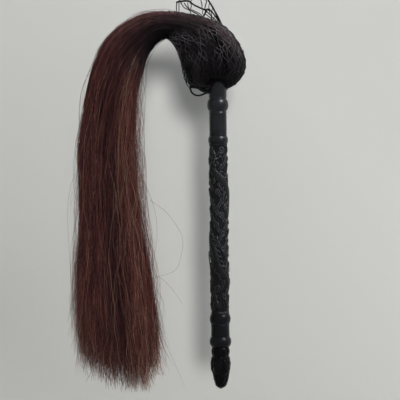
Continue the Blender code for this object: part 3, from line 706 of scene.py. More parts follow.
def tail_tips(name, hair, top_z, material, steps=24):
    """Strands from a level down to their own tips, thinning, gathering in tufts and fraying."""
    count = len(hair["angle"])
    fray = hair["fray"]
    foot = strand_points(hair, np.full((count, 1), FOOT_STATION))
    tuft = np.random.default_rng(count).integers(0, count, TUFTS)
    nearest = np.argmin(((foot[..., :2] - foot[tuft, 0, :2]) ** 2).sum(-1), axis=1)
    drop = np.random.default_rng(count + 1).normal(0, 0.005, TUFTS)
    tip_z = fringe_z(foot[..., 0]) + 0.067 * hair["tip"][:, :1] ** 0.8
    tip_z = np.maximum(tip_z + drop[nearest][:, None], LOWEST_TIP_Z)
    z = top_z + (tip_z - top_z) * np.linspace(0, 1, steps)[None, :] ** 0.85
    t = np.minimum(tail_station(z), END_STATION)
    t[:, 0] = tail_station(top_z)
    points = strand_points(hair, t)
    points[:, 1:, 2] = z[:, 1:]
    end = clamp(1 - (z - tip_z) / 0.06)
    points[..., :2] += 0.5 * (end**1.4)[..., None] * (foot[tuft[nearest], :, :2] - foot[..., :2])
    wide = 0.0021 + 0.005 * (hair["tip"][:, 2:3] > 0.9)
    curl = 0.0015 * fray[:, 2:3] * np.sin(TAU * (z - tip_z) / 0.029 + hair["phase"][:, :1])
    points[..., 0] += end**2 * (wide * fray[:, :1] + 0.1 * (foot[..., 0] - FOOT_X)) + end * curl
    points[..., 1] += end**2 * wide * fray[:, 1:2]
    return strand_piece(name, hair, t, material, hold_left(points), 1 - 0.5 * end**1.5, 0.12 * end**4)


def tail_wisps(name, material, steps=13):
    """Fine ends that hang past the bulk of the tips, bowed and curled each its own way."""
    hair = comb(WISPS, 0.45, 1.02, seed=12)
    hair["radius"] = 0.92 * hair["radius"]
    fray = hair["fray"]
    foot_x = strand_points(hair, np.full((WISPS, 1), FOOT_STATION))[..., 0]
    tip_z = np.maximum(fringe_z(foot_x) + 0.03 - 0.034 * hair["tip"][:, :1], LOWEST_TIP_Z)
    lengths = np.random.default_rng(31).uniform(0.045, 0.085, (WISPS, 1))
    top_z = np.minimum(tip_z + lengths, WISP_TOP_Z)
    share = np.linspace(0, 1, steps)[None, :]
    z = top_z + (tip_z - top_z) * share
    t = np.minimum(tail_station(z), END_STATION)
    points = strand_points(hair, t)
    points[..., 2] = z
    outward = 0.004 * np.clip((foot_x - FOOT_X) / 0.045, -1, 1) + 0.005 * fray[:, :1]
    curl = 0.0018 * fray[:, 2:3] * np.sin(TAU * 2.1 * share + hair["phase"][:, :1])
    points[..., 0] += share**2 * outward + share * curl
    points[..., 1] += share**2 * 0.0034 * fray[:, 1:2] + share * curl
    return strand_piece(name, hair, t, material, hold_left(points), 1 - 0.4 * share**1.5, 0.44 * share**1.5)


def ring_angles(sides):
    return np.arange(sides)[None, :] * TAU / sides


def packed_mass(name, t, material, share):
    """Closed body of packed hair under the strands, between stations."""
    t = np.broadcast_to(t[:, None], (len(t), MASS_SIDES))
    angle = np.broadcast_to(ring_angles(MASS_SIDES), t.shape)
    return loft(name, hair_spot(t, angle, np.reshape(share, (-1, 1)) * hair_surface(angle, t)), material)


def bulb_mass(material):
    """Packed hair of the bulb: a thick shell round the hidden core, open at the neck."""
    outer_t = np.concatenate([np.linspace(0.02, 1, 6), np.linspace(1.4, 8, 22)])
    angle = ring_angles(MASS_SIDES)
    t = hem(angle) + (1 - hem(angle) / outer_t[-1]) * outer_t[:, None]
    angle = np.broadcast_to(angle, t.shape)
    outer = hair_spot(t, angle, MASS_SHARE * hair_surface(angle, t))
    core_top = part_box("head_core")[1].z
    radius = np.array((0.0004, CORE_NECK_RADIUS, CORE_NECK_RADIUS))[:, None]
    levels = np.stack([0 * angle[0] + core_top + 0.0012, 0 * angle[0] + core_top + 0.0008, outer[0, :, 2]])
    return loft("bulb_mass", np.concatenate([on_handle(radius, angle[:3], levels), outer]), material)


def on_handle(radius, angle, level):
    """Points round the handle's axis."""
    rows = np.broadcast_arrays(HANDLE_X + radius * np.cos(angle), radius * np.sin(angle), level)
    return np.stack(rows, -1)


def make_hair():
    look, packed = hair_material(), mass_material()
    surface = comb(SURFACE_STRANDS, 0.86, 1, seed=5)
    under, outer = ({key: value[k::2] for key, value in surface.items()} for k in range(2))
    fall_t, upper_t = tail_station((FALL_CUT_Z, UPPER_TAIL_CUT_Z))
    waist_t = tail_station(WAIST_MASS_END_Z)

    def bulb_t(hair):
        first = hem(hair["angle"])
        return first + (ARC_START - first) * np.linspace(0, 1, 17)[None]

    for name, hair, t, place, slot, nodes in (
        ("bulb_hair_under", under, bulb_t(under), "handle", "dark_hair", ()),
        ("bulb_hair_outer", outer, bulb_t(outer), "handle", "dark_hair", (
            "hair_lock_front", "hair_lock_front_right", "hair_lock_right", "hair_lock_back", "hair_lock_left",
        )),
        ("arc_hair", surface, np.linspace(ARC_START, ARC_CUT_STATION, 14), "handle", "dark_hair",
         ("hair_arc",)),
        ("shoulder_hair", surface, np.linspace(ARC_CUT_STATION, fall_t, 14), "shoulder", "brown_hair",
         ("hair_shoulder",)),
        ("nape_hair", surface, np.linspace(fall_t, upper_t, 10), "nape", "brown_hair",
         ("hair_fall", "hair_nape")),
    ):
        attach(strand_piece(name, hair, t, look), place, slot, *nodes)
    attach(tail_tips("tail_hair_under", under, UPPER_TAIL_CUT_Z, look), "waist", "brown_hair")
    tail_nodes = "hair_tail_upper", "hair_waist", "hair_tail_lower"
    attach(tail_tips("tail_hair_outer", outer, UPPER_TAIL_CUT_Z, look), "waist", "brown_hair", *tail_nodes)
    inner = comb(INNER_STRANDS, 0.05, 0.86, seed=8)
    mixed = np.random.default_rng(3).permutation(INNER_STRANDS)
    inner["share"] = np.sqrt(np.linspace(0.02, 0.76, INNER_STRANDS))[mixed, None]
    inner["tone"] = 0.8 * inner["tone"]
    attach(tail_tips("tail_hair_inner", inner, INNER_TOP_Z, look, steps=14), "lower_tail", "brown_hair")
    attach(tail_wisps("tail_wisps", look), "lower_tail", "brown_hair")

    attach(bulb_mass(packed), "handle", "dark_hair")
    for name, first, last, count, place, slot in (
        ("arc_mass", 8, ARC_CUT_STATION, 26, "handle", "dark_hair"),
        ("shoulder_mass", ARC_CUT_STATION, fall_t, 20, "shoulder", "brown_hair"),
        ("nape_mass", fall_t, upper_t, 12, "nape", "brown_hair"),
        ("waist_mass", upper_t, waist_t, 24, "waist", "brown_hair"),
    ):
        taper = 0.62 * np.linspace(0, 1, count) ** 3 if place == "waist" else np.zeros(count)
        mass = packed_mass(name, np.linspace(first, last, count), packed, MASS_SHARE * (1 - taper))
        attach(mass, place, slot)
    return look


# Loose hairs


STRAY_STEPS = 22

# Name, body or bend, span in stations or levels, count, bow, share on the left and radius of each kind
STRAYS = (
    ("stray_hair_arc", "handle", (9.3, 13.5), 80, 0.003, None, 0.00013),
    ("stray_hair_low", "lower_tail", (-0.37, -0.505), 150, 0.0085, 0.68, 0.00013),
    ("stray_hair_nape", "nape", (-0.189, -0.3), 60, 0.01, 0.22, 0.00014),
    ("stray_hair_high", "upper_tail", (-0.235, -0.322), 75, 0.0065, 0.25, 0.00013),
)

# Long stray hairs that leave the tail, as x and z of each
LONG_STRAYS = metres((
    ((-645, -2865), (-447, -3017), (-299, -3219), (-239, -3370), (-266, -3569), (-343, -3744), (-594, -3828),
     (-830, -3900)),
    ((-800, -3700), (-531, -3829), (-383, -3968), (-248, -4157)),
    ((-750, -3950), (-635, -4115), (-478, -4617), (-357, -4894), (-235, -5183)),
    ((-700, -3600), (-570, -4300), (-500, -4680), (-360, -4930)),
    ((-1440, -2400), (-1540, -2480), (-1644, -2728), (-1685, -3040), (-1677, -3415), (-1596, -3979),
     (-1450, -4150)),
    ((-1400, -4000), (-1536, -4230), (-1638, -4378), (-1690, -4526)),
    ((-1440, -3000), (-1560, -3400), (-1600, -3900), (-1570, -4450), (-1600, -4800)),
    ((-780, -2500), (-610, -2900), (-560, -3300), (-640, -3900), (-560, -4300)),
))
LONG_STEPS = 57


def stray_piece(name, lines, tone, radius, material, place):
    """Thin loose hairs as one mesh. All lines have the same number of points."""
    centres = np.array(lines)
    reference = unit(np.broadcast_to(np.array([0.3, 1, 0.2]), centres.shape))
    thickness = radius * (1 - 0.45 * np.linspace(0, 1, centres.shape[1])) * np.ones(centres.shape[:2])
    rings = tube_rings(centres, thickness, reference, 3)
    piece = tubes(name, rings, material, {"tone": tone, "root": 0 * tone})
    attach(piece, place, "dark_hair" if place == "handle" else "brown_hair")


def make_strays(material):
    """Loose hairs that bow away from the mass, and the long ones that the photograph shows."""
    chance = np.random.default_rng(21)
    share = np.linspace(0, 1, STRAY_STEPS)
    for name, body, span, count, bow, left_share, radius in STRAYS:
        lines = []
        on_tail = left_share is not None
        for _ in range(count):
            left = on_tail and chance.random() < left_share
            side = (0 if left else math.pi) if on_tail else chance.uniform(-1, 0.7)
            angle = side + chance.normal(0, 0.7 if on_tail else 0.3)
            first, last = np.sort(chance.uniform(0, 1, 2))
            last = min(1, max(last, first + 0.35))
            place = span[0] + (span[1] - span[0]) * (first + (last - first) * share)
            t = tail_station(place) if on_tail else place
            reach = min(bow * chance.gamma(2, 0.5), 0.014)
            angle = angle + 0.1 * np.sin(3 * share + chance.uniform(0, TAU))
            swing = reach * np.sin(math.pi * 0.62 * share) ** 1.3
            lines.append(hold_left(hair_spot(t, angle, np.full(STRAY_STEPS, 0.98), swing)))
        tone = chance.uniform(0.35, 0.98, (count, 1)) + 0 * share
        stray_piece(name, lines, tone, radius, material, body)

    routes = []
    for route in LONG_STRAYS:
        near = np.linspace(0, 1, len(route)) ** 2
        depth = chance.uniform(-0.01, 0.004, len(route)) * (1 - near) - 0.018 * near
        line = smooth_route([(x, y, z) for (x, z), y in zip(route, depth)], 8)
        routes.append(hold_left(resampled(line, LONG_STEPS)))
    tone = np.full((len(routes), LONG_STEPS), 0.55)
    stray_piece("stray_hair_long", routes, tone, 0.00021, material, "waist")


# Net


def twisted_cord(name, points, radius, material, plies=3, lay=0.0045, closed=False):
    """Laid cord: plies wound round a line of points."""
    points = np.asarray(points, float)
    s = np.concatenate([[0], np.cumsum(np.linalg.norm(np.diff(points, axis=0), axis=1))])
    line = resampled(points, max(24, int(s[-1] / lay * 10)), s)
    fine = np.linspace(0, s[-1], len(line))
    turns = np.round(s[-1] / lay) * fine / s[-1] if closed else fine / lay
    ahead = unit(np.gradient(line, axis=0))
    side = unit(np.cross(ahead, np.array([0.02, 1, 0.03])))
    up = np.cross(side, ahead)
    ply = radius * 0.52
    rings = []
    for k in range(plies):
        turn = (TAU * (turns + k / plies))[:, None]
        rings.append(cord_rings(line + (radius - ply) * (side * np.cos(turn) + up * np.sin(turn)), ply)[0])
    return tubes(name, np.array(rings), material)


def net_spot(t, angle, lift=0):
    """Point on the net: it bridges the creases and stands off most on the outside of the bulb."""
    share = 0.55 * tuck(angle, t) + 0.45 * hair_surface(angle, t)
    return hair_spot(t, angle, share, NET_LIFT * (1 + 0.4 * clamp(np.cos(angle))) + lift)


def net_web(material):
    """Diamond mesh stretched over the bulb: zigzag threads that meet in knots."""
    chance = np.random.default_rng(4)
    nudge = chance.normal(0, 1, (NET_ROWS + 1, NET_CELLS, 3))

    def knot(row, cell):
        """Station and angle of a knot of the net."""
        cell = cell % NET_CELLS
        angle = TAU * (cell + 0.5 * (row % 2) + 0.24 * nudge[row, cell, 0]) / NET_CELLS
        mouth = 8.8 + 1.3 * math.cos(angle) + 0.45 * math.sin(5 * angle + 1)
        down = (row + 0.14 * nudge[row, cell, 1] * (0 < row < NET_ROWS)) / NET_ROWS
        neck = NET_NECK_STATION + float(hem(angle))
        return neck + (mouth - neck) * down**0.92, angle

    rows = np.arange(NET_ROWS + 1)
    fine = np.linspace(0, NET_ROWS, NET_ROWS * NET_SUBSTEPS + 1)
    between = np.abs(np.sin(math.pi * fine))
    lines, levels = [], []
    for start in range(NET_CELLS):
        for lean in (0, -1):
            spots = np.array([knot(row, start + lean * (row % 2)) for row in rows])
            t = np.interp(fine, rows, spots[:, 0])
            angle = np.interp(fine, rows, np.unwrap(spots[:, 1]))
            angle = angle + between * chance.normal(0, 0.012, len(fine))
            lines.append(net_spot(t, angle, between * chance.uniform(0, 0.0005, len(fine))))
            levels.append(t)
    centres, t = np.array(lines), np.array(levels)
    above = clamp((centres[..., 2] + 0.129) / 0.03)
    raised = above * np.interp(t, (2.2, 3.6, 6.2, 8), (0, 1, 1, 0.2))
    radii = NET_THREAD * (1 + 0.55 * raised) * np.interp(t, (7.6, 9.5), (1, 0.6))
    rings = tube_rings(centres, radii, unit(centres - np.array([0.005, 0, -0.105])), 4)
    # grey marks the upper part of the bulb for a painted sheen; there the threads are also thicker.
    web = tubes("net_web", rings, material, {"grey": 0.15 + 0.85 * raised})
    t, angle = np.array([knot(row, cell) for row in rows[1:] for cell in range(NET_CELLS)]).T
    sizes = 0.00055 + 0.00045 * np.maximum(0, np.cos(angle))
    return web, small_knots("net_knots", net_spot(t, angle), sizes, material)


def small_knots(name, places, radius, material, seed=2):
    """Little tied lumps: balls of three rings of six points and two poles, each squashed its own way."""
    chance = np.random.default_rng(seed)
    latitude, turn = np.meshgrid((-0.9, 0, 0.9), np.arange(6) * TAU / 6, indexing="ij")
    ball = np.stack([np.cos(latitude) * np.cos(turn), np.cos(latitude) * np.sin(turn), np.sin(latitude)], -1)
    ball = np.vstack([(0, 0, -1.15), ball.reshape(-1, 3), (0, 0, 1.15)])
    count, each = len(places), len(ball)
    size = np.reshape(radius, (-1, 1, 1)) * chance.uniform(0.8, 1.3, (count, 1, 3))
    ring = np.arange(1, each - 1).reshape(3, 6)
    low, high = ring[0], ring[-1]
    caps = np.stack([
        np.stack([0 * low, np.roll(low, -1), low], -1),
        np.stack([0 * high + each - 1, high, np.roll(high, -1)], -1),
    ], 1).reshape(-1, 3)
    base = (np.arange(count) * each)[:, None, None]
    across, down = (np.arange(count) + 0.5) / count, np.linspace(0.1, 0.9, each)
    uv = np.stack([np.repeat(across, each), np.tile(down, count)], -1)
    points = np.asarray(places)[:, None, :] + ball * size
    return mesh_piece(name, points, side_quads(ring) + base, caps + base, material, uv)


# Threads of the empty net above the bulb: the radius of each, then x and z along it. They gather in
# the knot under the loop, and their feet are on the hair.
KNOT_AT = (0, -175)
TENT_THREADS = metres((
    (12, KNOT_AT, (109, -373), (149, -436), (182, -499), (219, -575), (256, -644), (292, -707), (342, -782)),
    (7.2, KNOT_AT, (127, -399), (170, -474), (219, -556), (250, -612), (274, -669)),
    (6.4, KNOT_AT, (21, -372), (33, -422), (36, -472), (76, -494)),
    (7.2, KNOT_AT, (84, -373), (81, -423), (70, -473), (82, -498)),
    (5.6, KNOT_AT, (119, -386), (121, -436), (115, -492)),
    (11.3, (-123, -391), (-67, -434), (-17, -454), (33, -477), (82, -496)),
    (9.6, (120, -498), (157, -530), (194, -574), (231, -627), (274, -682)),
    (7.2, (82, -504), (119, -548), (156, -586), (206, -632), (249, -681)),
    (10.4, (82, -498), (69, -542), (46, -591), (43, -629)),
    (5.6, (51, -491), (36, -522), (50, -560), (69, -598), (93, -636)),
    (6.4, (69, -542), (107, -573), (144, -605), (162, -630), (199, -687)),
    (5.6, (46, -598), (81, -623), (118, -648), (168, -687)),
    (7.2, (-124, -499), (-80, -525), (-18, -554), (44, -598)),
    (6.4, (-105, -493), (-43, -522), (7, -545), (50, -585)),
    (5.6, (-121, -502), (-106, -546), (-69, -584), (-19, -603)),
    (6.4, (-229, -402), (-198, -451), (-167, -480), (-124, -498)),
    (6.4, (-192, -402), (-161, -451), (-124, -496)),
    (6.4, (-142, -402), (-142, -445), (-126, -496)),
    (6.4, (-117, -402), (-101, -433), (-105, -471), (-121, -496)),
    (6.4, (-273, -394), (-286, -425), (-286, -481), (-283, -556)),
    (6.4, (-254, -397), (-255, -457), (-258, -563)),
    (5.6, (170, -474), (151, -524), (156, -586)),
    (5.6, (120, -505), (138, -561), (162, -630)),
    (5.6, (194, -574), (175, -612), (162, -630), (118, -661)),
    (5.6, (231, -625), (212, -656), (199, -699)),
    (5.9, KNOT_AT, (-40, -270), (-108, -400)),
    (5.9, KNOT_AT, (-92, -285), (-190, -384)),
    (5.9, KNOT_AT, (-132, -278), (-266, -388)),
))
# x, z and radius of each
TENT_KNOTS = metres((
    (-124, -498, 12), (74, -497, 15), (97, -492, 16.4), (120, -497, 16.4), (82, -523, 10.6),
    (45, -595, 13.4), (162, -630, 15), (200, -692, 13.4), (253, -680, 13.4), (274, -685, 15),
    (69, -542, 10.6), (-281, -396, 12), (219, -577, 9), (157, -530, 10.6), (-229, -399, 10.6),
    (-116, -398, 12),
))
BAND_ROUTE = metres(((-272, -390), (-225, -384), (-170, -383), (-112, -393)))


def tent_spot(x, z):
    """Place of the empty net: threads that cross in the photograph meet in depth too."""
    spread = clamp((KNOT_AT[1] / TENTHS - z) / 0.02)
    return x, spread * (0.0028 * math.sin(230 * x + 0.8) + 0.0015 * math.sin(390 * z)), z


def net_tent(material):
    """The empty net above the bulb, pulled taut to the knot: its threads, its knots and its bunched band."""
    rings = []
    for radius, *route in TENT_THREADS:
        line = resampled(smooth_route([tent_spot(x, z) for x, z in route]), 19)
        rings.append(cord_rings(line, radius)[0])
    places = [tent_spot(x, z) for x, z, _ in TENT_KNOTS]
    band = smooth_route([tent_spot(x, z) for x, z in BAND_ROUTE])
    return (
        tubes("net_tent_threads", np.array(rings), material),
        small_knots("net_tent_knots", places, [radius for *_, radius in TENT_KNOTS], material, seed=5),
        twisted_cord("net_tent_band", band, 0.00125, material, plies=4, lay=0.009),
    )


# Loose edge of the net at the bulb's lower left, as x and z, and the ends drawn to the neck below it
RIM_EDGE = metres(((-225, -1145), (-216, -1232), (-199, -1307), (-181, -1383), (-129, -1471)))
RIM_FOOT = metres(((-129, -1473), (-90, -1470), (-42, -1478), (14, -1495)))
RIM_FAN = metres((-82, -66, -50, -34, -18, 0, 20, 42, 66))

# Cords of the rim: name, route as x and z, place in depth, radius, plies, lay and the node replaced
RIM_CORDS = (
    ("rim_loop", metres((
        (-129, -1473), (-105, -1528), (-70, -1556), (-32, -1566), (12, -1560), (56, -1542), (93, -1530),
    )), 0, 1.6 * CORD_RADIUS, 3, 0.0045, ("net_rim_loop",)),
    ("rim_hem", metres((
        (-128, -1462), (-90, -1455), (-40, -1458), (14, -1474), (60, -1496), (100, -1522),
    )), -0.002, 0.0019, 5, 0.012, ()),
    ("rim_gather", metres((
        (-4, -1478), (30, -1498), (68, -1512), (108, -1524),
    )), -0.002, 0.0028, 6, 0.015, ()),
)


def rim_scallops(material):
    """Loose edge of the net: small loops down the lower left of the bulb, and its drawn-in foot."""
    routes = []
    for (x0, z0), (x1, z1) in zip(RIM_EDGE, RIM_EDGE[1:]):
        for bow, y in ((0.0012, -0.003), (-0.0022, -0.005)):
            middle = ((x0 + x1) / 2 - bow, y, (z0 + z1) / 2 - 0.2 * bow)
            routes.append([(x0, -0.004, z0), middle, (x1, -0.004 if z1 > -0.146 else 0, z1)])
    routes.append([(x, 0, z) for x, z in RIM_FOOT])
    for y in RIM_FAN:
        start, end = (-0.0052 + 14 * y * y, y, -0.1452), (0.0104 + 24 * y * y, y, -0.1538)
        routes.append([start, (0.003, 0.9 * y, -0.1496), end])
    centres = np.array([resampled(smooth_route(route), 15) for route in routes])
    outwards = unit(centres - np.array([HANDLE_X, 0, -0.13]))
    rings = tube_rings(centres, np.full(centres.shape[:2], 0.00058), outwards, 6)
    knots = [(x, -0.004, z) for x, z in RIM_EDGE[1:-1]] + [(RIM_FOOT[0][0], 0, RIM_FOOT[0][1])]
    return small_knots("rim_knots", knots, 0.00095, material, seed=7), tubes("rim_scallops", rings, material)


def wound_ball(name, centre, radius, thread, turns, material):
    """A knot: one thread wound round and round a ball, the pole drifting as it goes."""
    share = np.linspace(0, 1, turns * 18)
    swing = TAU * turns * share
    tilt = 0.9 * np.sin(TAU * 1.5 * share) + 0.4
    spin = 2.1 * math.pi * share
    x, y, z = np.cos(swing), np.sin(swing) * np.cos(tilt), np.sin(swing) * np.sin(tilt)
    line = np.stack([x * np.cos(spin) - y * np.sin(spin), x * np.sin(spin) + y * np.cos(spin), z], -1)
    line = np.asarray(centre) + line * (radius - thread)
    return tubes(name, cord_rings(line, thread, 6, (0.2, 0.9, 0.4)), material)


def make_net():
    thread = net_material()

    def tie(piece, *nodes):
        attach(piece, "handle", "net_thread", *nodes)

    def cord(name, line, radius, *nodes, **lay):
        tie(twisted_cord(name, line, radius, thread, **lay), *nodes)

    def ball(name, centre, radius, thickness, turns, *nodes):
        tie(wound_ball(name, centre, radius, thickness, turns, thread), *nodes)

    web, nubs = net_web(web_material())
    tie(web, "net_bag")
    tie(nubs)
    threads, *gathers = net_tent(thread)
    tie(threads, "net_tent")

    around = np.linspace(0, TAU, 73)
    rim_z = RIM_CORD_Z + 0.0086 * np.exp(-(((around - 1.5 * math.pi) / 1.1) ** 4))
    ring = on_handle(NECK_RADIUS + GAP + CORD_RADIUS + 0.0001, around, rim_z)
    cord("rim_cord", ring, CORD_RADIUS, "net_rim_cord", closed=True)
    for name, route, y, radius, plies, lay, nodes in RIM_CORDS:
        cord(name, smooth_route([(x, y, z) for x, z in route]), radius, *nodes, plies=plies, lay=lay)
    for piece in (*gathers, *rim_scallops(thread)):
        tie(piece)
    ball("rim_knot", (0.0016, -0.003, -0.1496), 0.002, 0.0006, 7)

    fold_t = np.linspace(0.5, 6.6, 60)
    fold = hair_spot(fold_t, 0 * fold_t, 1, 0.0013 + 0.0005 * np.sin(9 * fold_t))
    cord("net_fold", fold, 0.0007)
    tie(small_knots("net_fold_knots", fold[3::5], 0.0011, thread, seed=9))
    ball("rim_tuck", (0.0352, -0.005, -0.1428), 0.0029, 0.0006, 8)

    low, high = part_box("hang_loop")
    reach = (high.x - low.x) / 2 - CORD_RADIUS
    ring = np.stack([reach * np.cos(around), 0 * around, (low.z + high.z) / 2 + reach * np.sin(around)], -1)
    cord("loop_cord", ring, CORD_RADIUS, "hang_loop", closed=True)
    low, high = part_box("hang_knot")
    ball("loop_knot", (0, 0, (low.z + high.z) / 2), (high.z - low.z) / 2, 0.0007, 9, "hang_knot")
    ball("loop_lashing", (0, 0, high.z + 0.0003), 0.002, 0.0006, 6)


# Handle


def lacquered(piece, sharp_degrees, *nodes):
    """A lacquered piece of the handle, its edges sharp where its faces turn by more than an angle."""
    piece.data.set_sharp_from_angle(angle=math.radians(sharp_degrees))
    attach(piece, "handle", "lacquered_wood", *nodes)


def wobble(size, angle, z):
    """Slight hand-turned unevenness, in metres."""
    return size * (np.sin(2 * angle + 300 * z) + 0.6 * np.sin(3 * angle - 520 * z + 1)) / 1.6


def turned(name, node, outline, unevenness, material):
    """A bored turned length: the outline gives radius and level, top to bottom."""
    outline = np.array([outline[0], *outline, outline[-1]])
    angle = ring_angles(TURNED_SIDES)
    radius = outline[:, :1] + wobble(unevenness, angle, outline[:, 1:])
    radius[[0, -1]] = BORE_RADIUS
    index = np.arange(radius.size).reshape(radius.shape)
    below = np.roll(index, -1, 0)
    quads = np.stack([np.roll(index, -1, 1), index, below, np.roll(below, -1, 1)], -1)
    points = on_handle(radius, angle, outline[:, 1:])
    lacquered(mesh_piece(name, points, quads, [], material, ring_uv(*radius.shape)), 50, node)


def bulge(top_z, bottom_z, foot, crest, ease=0.00022):
    """Outline of a turned bead between short feet, its corners eased."""
    rows = [(foot - ease, top_z), (foot, top_z - ease), (foot, top_z - BEAD_FOOT)]
    for share in np.linspace(0, 1, 26)[1:-1]:
        z = top_z - BEAD_FOOT - share * (top_z - bottom_z - 2 * BEAD_FOOT)
        rows.append((foot + (crest - foot) * math.sin(math.pi * share) ** 0.6, z))
    return rows + [(foot, bottom_z + BEAD_FOOT), (foot, bottom_z + ease), (foot - ease, bottom_z)]


def seat(node, above=GAP / 2, below=GAP / 2):
    """Levels of the ends of a piece of the handle, drawn out over half the glue gap to each neighbour."""
    low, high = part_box(node)
    return high.z + above, low.z - below


def make_turned_lengths(material, lower_shade):
    top, bottom = seat("neck_sleeve", above=0)
    bead_top, bead_bottom = top - 0.0262, top - 0.0434
    neck, barrel = NECK_RADIUS, 0.01095
    sleeve = [
        (neck - 0.0003, top), (neck, top - 0.0003), (neck, bead_top + 0.001),
        (neck - 0.0004, bead_top + 0.0006), (neck - 0.0004, bead_top),
        *bulge(bead_top, bead_bottom, 0.01075, 0.0134)[1:-1],
        (barrel - 0.0003, bead_bottom - 0.0002), (barrel, bead_bottom - 0.0006),
    ]
    for line_z in (bead_bottom - 0.0036, bottom + 0.0058, bottom + 0.0024):
        for share in np.arange(7) / 6:
            sleeve.append((barrel - 0.0005 * math.sin(math.pi * share), line_z - 0.001 * share))
    sleeve += [(barrel, bottom + 0.0004), (barrel - 0.0003, bottom)]
    turned("sleeve", "neck_sleeve", sleeve, 0.00005, material)

    # The lower collars and the butt take the lacquer made darker as painted shade.
    for name, node, foot, crest, look in (
        ("collar_upper", "upper_ring", 0.0117, 0.01255, material),
        ("collar_lower", "lower_ring", 0.0118, 0.0131, lower_shade),
        ("collar_pommel", "pommel_ring", 0.012, 0.0136, lower_shade),
    ):
        turned(name, node, bulge(*seat(node), foot, crest, ease=0.0005), 0.00008, look)

    top, bottom = seat("butt_sleeve")
    radius = 0.01155
    butt = [(radius - 0.0003, top)]
    for share in np.linspace(0, 1, 13):
        z = top - 0.0003 - (top - bottom - 0.0006) * share
        butt.append((radius - 0.00012 * math.sin(math.pi * share), z))
    turned("butt", "butt_sleeve", butt + [(radius - 0.0003, bottom)], 0.00009, lower_shade)


def bud_surface(share, angle):
    """Radius of the bud below its neck, and how far each point stands proud: two tiers of full petals."""
    fullness = np.sin(math.pi * np.minimum(1, 0.34 + 0.66 * share)) ** 0.55
    core = 0.0028 + (0.01 - 0.0028) * fullness
    raised = 0.0002 + 0 * share * angle
    for petals, shift, side_level, tip_level, thickness in PETALS:
        across = np.abs((angle * petals / TAU + shift) % 1 - 0.5) * 2
        edge = side_level + (tip_level - side_level) * (1 - across**1.6)
        inside = clamp((edge - share) / 0.03) ** 0.6
        puff = 0.55 + 0.45 * np.sin(math.pi * clamp(share / edge)) ** 0.8
        vein = 0.00032 * np.exp(-((across / 0.09) ** 2))
        petal = thickness * (0.25 + 0.75 * np.sqrt(clamp(1 - across**2))) * puff - vein
        raised = np.maximum(raised, inside * petal)
    lumps = 0.0003 * np.sin(5 * angle + 17 * share) * np.sin(15 * share + 2 * angle + 0.6)
    lumps = lumps + 0.00014 * np.sin(11 * angle - 37 * share + 1)
    fade = clamp((1 - share) / 0.06) ** 0.5
    point = np.sqrt(clamp((1.0002 - share) / 0.075))
    return core * point + (raised + lumps * clamp(share / 0.08)) * fade, raised * fade


def make_bud(material):
    top, bottom = seat("pommel_bud", below=0)
    neck_end, blind = top - 0.0125, top - 0.0143
    angle = ring_angles(144)
    share = np.linspace(0.004, 1, 150)[:, None]
    body, raised = bud_surface(share, angle)
    neck = bulge(top, neck_end, 0.0101, 0.0109)[:-1]
    plain = np.array([(POINT_RADIUS, blind), (BORE_RADIUS, blind), (BORE_RADIUS, top), *neck])
    beaded = np.sin(math.pi * clamp((top - plain[:, 1:]) / (top - neck_end)))
    beaded = beaded * (plain[:, :1] > 0.01) * 0.0007 * np.abs(np.sin(5 * angle + 0.7)) ** 0.6
    radius = np.concatenate([plain[:, :1] + beaded, body])
    levels = np.concatenate([plain[:, 1:], neck_end - share * (neck_end - bottom)])
    # Raised petals lighter: partly rubbed lacquer, partly painted highlight.
    wear_and_highlight = np.concatenate([0 * beaded, clamp(raised / 0.004)])
    points = on_handle(radius, angle, levels)
    lacquered(loft("bud", points[:, ::-1], material, {"wear_and_highlight": wear_and_highlight[:, ::-1]}), 60, "pommel_bud")


# Carved grip


